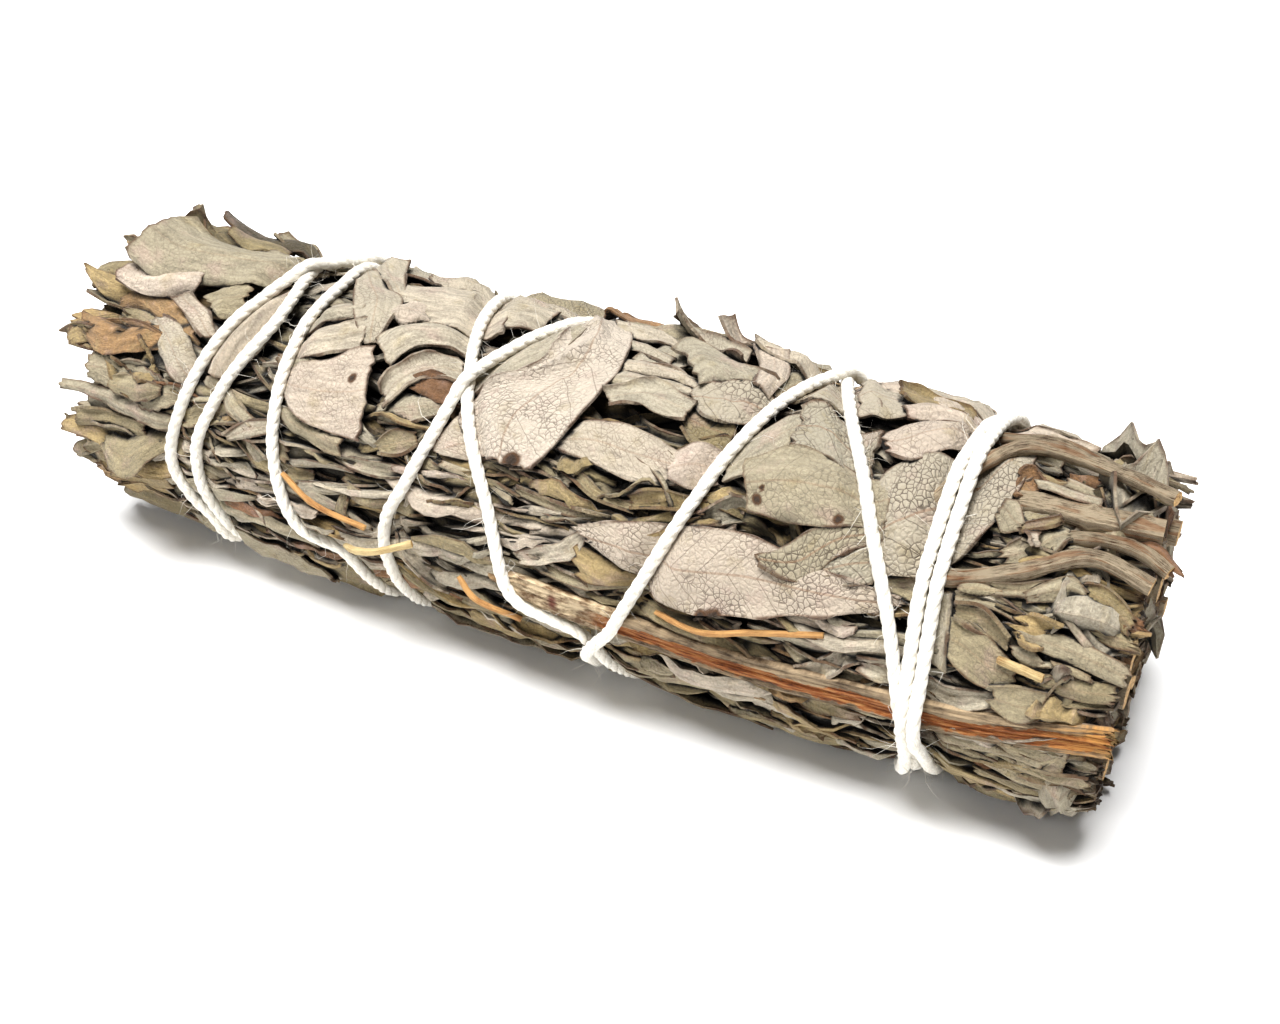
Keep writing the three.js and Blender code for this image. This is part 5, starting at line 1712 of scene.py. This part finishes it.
def layTwine():
    parts = [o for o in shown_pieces() if o.get("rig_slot") in ("leaves", "bark", "split_wood")]
    tree = surfaceOf(parts)
    way = smoothWay([(x, angle / 20) for x, angle in twine["way"]], 6000)
    angles = np.arange(twine["way"][0][1], twine["way"][-1][1], -twine["sampleTurn"])
    xs = np.interp(-angles, -way[:, 1] * 20, way[:, 0])
    reach = []
    for x, angle in zip(xs, angles):
        felt = []
        for dx, turn in ((-0.5, 0), (0.5, 0), (0, -1.2), (0, 1.2)):
            start, end = roundBunch(x + dx, angle + turn, 32), roundBunch(x + dx, angle + turn, 0)
            hit = tree.ray_cast(start, (end - start).normalized())
            felt.append(32 - hit[3] * 1000 if hit[0] else 14)
        reach.append(max(felt))
    reach = np.array(reach)
    reach = pullTaut(reach, (1, 2, 3, 4, 6, 3, 1))
    reach = np.convolve(np.pad(reach, 2, "edge"), (0.1, 0.22, 0.36, 0.22, 0.1), "valid")
    for k in range(len(xs)):
        before = slice(0, max(0, k - 40))
        turn = np.radians((angles[before] - angles[k] + 180) % 360 - 180)
        gaps = np.hypot(xs[before] - xs[k], turn * girth(xs[k]))
        if len(gaps) and gaps.min() < twine["crossWidth"]:
            under = reach[before][gaps.argmin()]
            over = 1.7 * twine["radius"] * math.sqrt(1 - (gaps.min() / twine["crossWidth"]) ** 2)
            reach[k] = max(reach[k], under + over)
    reach = pullTaut(reach, (1, 2, 3))
    reach = np.convolve(np.pad(reach, 1, "edge"), (0.25, 0.5, 0.25), "valid")
    strand = []
    for x, angle, out in zip(xs, angles, reach):
        point = roundBunch(x, angle, out + twine["radius"] - twine["sink"])
        point.z = max(point.z, (twine["radius"] + 0.1) * 0.001)
        strand.append(tuple(point))
    return smoothWay(strand, int(len(strand) * 1.2))


def makeStrandTree():
    tree, given, result = newTree("pliedStrand", [
        ("Ply radius", "Float", 0.00036), ("Ply offset", "Float", 0.00036), ("Twist length", "Float", 0.0046),
        ("Step", "Float", 0.00048), ("Finish", "Material", None),
    ])
    line = nodeOut(tree, "GeometryNodeMeshToCurve", {"Mesh": given["Geometry"]})
    inputs = {"Curve": line, "Length": given["Step"]}
    line = nodeOut(tree, "GeometryNodeResampleCurve", inputs, mode="LENGTH")
    length = addNode(tree, "GeometryNodeSplineParameter").outputs["Length"]
    line = store(tree, line, "alongStrand", times(tree, length, 1000.0))
    normal = nodeOut(tree, "GeometryNodeInputNormal")
    tangent = nodeOut(tree, "GeometryNodeInputTangent")
    joined = addNode(tree, "GeometryNodeJoinGeometry")
    turn = times(tree, calc(tree, "DIVIDE", length, given["Twist length"]), 2 * math.pi)
    for ply in range(3):
        aside = nodeOut(tree, "ShaderNodeVectorRotate", {
            "Vector": vectorCalc(tree, "SCALE", normal, given["Ply offset"]),
            "Axis": tangent,
            "Angle": plus(tree, turn, ply * 2 * math.pi / 3),
        })
        moved = nodeOut(tree, "GeometryNodeSetPosition", {"Geometry": line, "Offset": aside})
        tree.links.new(moved, joined.inputs[0])
    inputs = {"Resolution": 7, "Radius": given["Ply radius"]}
    ring = nodeOut(tree, "GeometryNodeCurvePrimitiveCircle", inputs)
    ring = store(tree, ring, "roundStrand", addNode(tree, "GeometryNodeSplineParameter").outputs["Factor"])
    inputs = {"Curve": joined.outputs[0], "Profile Curve": ring, "Fill Caps": True}
    endTree(tree, nodeOut(tree, "GeometryNodeCurveToMesh", inputs), given["Finish"], result)
    return tree


knot = {
    "loopRadius": 1.3,
    "loopPitch": 0.02,  # between two of a loop's 24 steps
    "leans": (0.5, -0.6),  # of its two loops
    "tails": [(6, 1.6, 2), (-5, 2, 4.4)],  # how far each goes along, aside and up
}


def loopPoints(middle, out, along, lean):
    # a loop round the two ends of the strand
    side = out.cross(along).normalized()
    up = out * math.cos(lean) + along * math.sin(lean)
    points = []
    for k in range(26):
        a = k * 2 * math.pi / 24
        ring = (side * math.cos(a) + up * math.sin(a)) * knot["loopRadius"]
        points.append(middle + ring * 0.001 + along * (k - 12) * (knot["loopPitch"] * 0.001))
    return points


def knotLines(strand):
    middle = (Vector(strand[0]) + Vector(strand[-1])) / 2
    axisY, axisZ = bunch["shift"][1] * 0.001, bunch["axisHeight"] * 0.001
    out = Vector((0, middle.y - axisY, middle.z - axisZ)).normalized()
    along = Vector((1, 0, 0))
    lines = [loopPoints(middle, out, along, lean) for lean in knot["leans"]]
    for reach, aside, up in knot["tails"]:
        way = [
            (0, 0, 0.3), (reach * 0.35, aside * 0.4, up * 0.5 + 0.6),
            (reach * 0.75, aside * 0.8, up * 0.9), (reach, aside, up * 0.7),
        ]
        side = out.cross(along)
        places = [middle + along * (a * 0.001) + side * (b * 0.001) + out * (c * 0.001) for a, b, c in way]
        lines.append(smoothWay([tuple(place) for place in places], 24))
    return lines


def makeTwine(strand):
    points, edges = [], []
    for line in (strand, *knotLines(strand)):
        edges += chainEdges(len(line), len(points))
        points += [tuple(point) for point in line]
    made = meshObject("twineStrand", points, edges=edges)
    addTree(made, makeStrandTree(), {
        "Finish": twineMaterial,
        "Ply radius": twine["plyRadius"] * 0.001,
        "Ply offset": twine["plyOffset"] * 0.001,
        "Twist length": twine["twistLength"] * 0.001,
    })
    settle(made, 80)
    return stands(made, "twine", "twine")


strandLine = layTwine()
twineStrand = makeTwine(strandLine)
print("twine wound:", round(float(np.linalg.norm(np.diff(strandLine, axis=0), axis=1).sum()), 3), "m")


fuzz = {
    "count": 5000,
    "length": (0.5, 3.6),
    "rarity": 5.0,  # the higher, the fewer long fibres
    "reach": 23.1,
    "lean": 0.8,
    "turned": 3.1,
    "thickness": 0.01,  # share of a fibre's length
    "shapes": 5,
    "seed": 12,
}


def fibreShapes():
    shapes = bpy.data.collections.new("fibreShapes")
    for k in range(fuzz["shapes"]):
        points = []
        for i in range(4):
            t = i / 3
            x, y = 0.34 * math.sin(t * (1.4 + k * 0.7)), 0.34 * (1 - math.cos(t * (1.8 + k * 0.8)))
            thick = fuzz["thickness"] * (1.2 - t)
            ring = ((1, 0), (-0.5, 0.87), (-0.5, -0.87))
            points += [(x + thick * a, y + thick * b, t * (1 - 0.09 * k * t)) for a, b in ring]
        moveTo(meshObject(f"fibreShape{k}", points, ringFaces(3, 3)), shapes)
    return shapes


def makeFuzzTree():
    tree, given, result = newTree("strandFuzz", [
        ("Fibre shapes", "Collection", None), ("Density", "Float", 1000.0), ("Seed", "Int", 1),
        ("Shortest", "Float", 0.0005), ("Longest", "Float", 0.002), ("Reach", "Float", 0.023),
        ("Finish", "Material", None),
    ])
    # a fibre is no longer than the room between its root and the strand's farthest reach to either side
    room = minus(tree, given["Reach"], calc(tree, "ABSOLUTE", axesOf(tree, positionOf(tree))[1]))
    inputs = {"Mesh": given["Geometry"], "Density": given["Density"], "Seed": given["Seed"]}
    spots = addNode(tree, "GeometryNodeDistributePointsOnFaces", inputs).outputs
    lean, turned = fuzz["lean"], fuzz["turned"]
    inputs = {0: (-lean, -lean, -turned), 1: (lean, lean, turned), "Seed": 3}
    leans = nodeOut(tree, "FunctionNodeRandomValue", inputs, data_type="FLOAT_VECTOR")
    inputs = {"Rotation": spots["Rotation"], "Rotate By": leans}
    pose = nodeOut(tree, "FunctionNodeRotateRotation", inputs, rotation_space="LOCAL")
    inputs = {4: 0, 5: fuzz["shapes"] - 1, "Seed": 5}
    picked = addNode(tree, "FunctionNodeRandomValue", inputs, data_type="INT").outputs[2]
    inputs = {2: 0.0, 3: 1.0, "Seed": 8}
    share = addNode(tree, "FunctionNodeRandomValue", inputs, data_type="FLOAT").outputs[1]
    rare = calc(tree, "POWER", share, fuzz["rarity"])
    span = minus(tree, given["Longest"], given["Shortest"])
    length = calc(tree, "MULTIPLY_ADD", rare, span, given["Shortest"])
    length = calc(tree, "MINIMUM", length, room)
    realized = instances(tree, spots["Points"], given["Fibre shapes"], picked, pose, length)
    x, y, z = axesOf(tree, positionOf(tree))
    above = combine(tree, x, y, calc(tree, "MAXIMUM", z, 0.0001))
    realized = nodeOut(tree, "GeometryNodeSetPosition", {"Geometry": realized, "Position": above})
    endTree(tree, realized, given["Finish"], result)
    return tree


def makeFuzz():
    made = bpy.data.objects.new("twineFuzz", twineStrand.data.copy())
    bpy.context.scene.collection.objects.link(made)
    area = sum(face.area for face in made.data.polygons)
    addTree(made, makeFuzzTree(), {
        "Fibre shapes": fibreShapes(),
        "Density": fuzz["count"] / area,
        "Seed": fuzz["seed"],
        "Shortest": fuzz["length"][0] * 0.001,
        "Longest": fuzz["length"][1] * 0.001,
        "Reach": fuzz["reach"] * 0.001,
        "Finish": twineMaterial,
    })
    settle(made, 180)
    return stands(made, "twine", "twine")


makeFuzz()
print("twine fuzz grown")


# Light, floor and camera
stage = {
    "floorSize": 2.2,
    "floorColour": (0.96, 0.96, 0.96, 1.0),
    "target": (9.5, 15.4),  # x along the bunch and height, in mm
    "azimuth": 26.5,
    "elevation": 36.5,
    "away": 196.0,
    "lens": 50.0,
    "lightsAt": Vector((0, 0, 0.015)),  # where both lights point
    "worldStrength": 0.08,
    "paleBand": (0.06, 0.14),  # heights in the sky between which it dims from white
    "key": {"place": (-0.1, -0.25, 1.45), "size": 0.9, "power": 44.0},
    "fill": {"place": (-0.3, -1.2, 1.0), "size": 0.4, "power": 4.0},
}


def makeFloor():
    half = stage["floorSize"] / 2
    corners = [(-half, -half, 0), (half, -half, 0), (half, half, 0), (-half, half, 0)]
    made = meshObject("floor", corners, [(0, 1, 2, 3)])
    material, _, shader = newMaterial("whitePaper")
    shader["Base Color"].default_value = stage["floorColour"]
    shader["Roughness"].default_value = 0.9
    shader["Specular IOR Level"].default_value = 0.1
    made.data.materials.append(material)


def makeLight(name, light):
    lamp = bpy.data.lights.new(name, "AREA")
    lamp.shape = "DISK"
    lamp.size = light["size"]
    lamp.energy = light["power"]
    made = bpy.data.objects.new(name, lamp)
    made.location = light["place"]
    made.rotation_euler = (stage["lightsAt"] - made.location).to_track_quat("-Z", "Y").to_euler()
    bpy.context.scene.collection.objects.link(made)


def makeCamera():
    shiftX, shiftY = bunch["shift"]
    target = Vector((stage["target"][0] + shiftX, shiftY, stage["target"][1])) * 0.001
    azimuth, elevation = math.radians(stage["azimuth"]), math.radians(stage["elevation"])
    level = math.cos(elevation)
    back = Vector((math.sin(azimuth) * level, -math.cos(azimuth) * level, math.sin(elevation)))
    camera = bpy.data.cameras.new("camera")
    camera.lens = stage["lens"]
    camera.sensor_width = 36.0
    camera.clip_start = 0.01
    made = bpy.data.objects.new("camera", camera)
    made.location = target + back * stage["away"] * 0.001
    made.rotation_euler = (-back).to_track_quat("-Z", "Y").to_euler()
    bpy.context.scene.collection.objects.link(made)
    bpy.context.scene.camera = made


def makeWorld():
    world = bpy.data.worlds.new("studio")
    world.use_nodes = True
    tree = world.node_tree
    background = tree.nodes["Background"].inputs
    background["Color"].default_value = (1.0, 1.0, 1.0, 1.0)
    facing = addNode(tree, "ShaderNodeTexCoord").outputs["Generated"]
    strength = ranged(tree, axesOf(tree, facing)[2], *stage["paleBand"], 1.0, stage["worldStrength"])
    plug(tree, strength, background["Strength"])
    bpy.context.scene.world = world


makeFloor()
makeLight("keyLight", stage["key"])
makeLight("fillLight", stage["fill"])
makeCamera()
makeWorld()
bpy.context.scene.view_settings.view_transform = "Standard"
bpy.context.scene.view_settings.look = "Medium High Contrast"
bpy.data.objects.remove(flatWay)

print("scene ready")
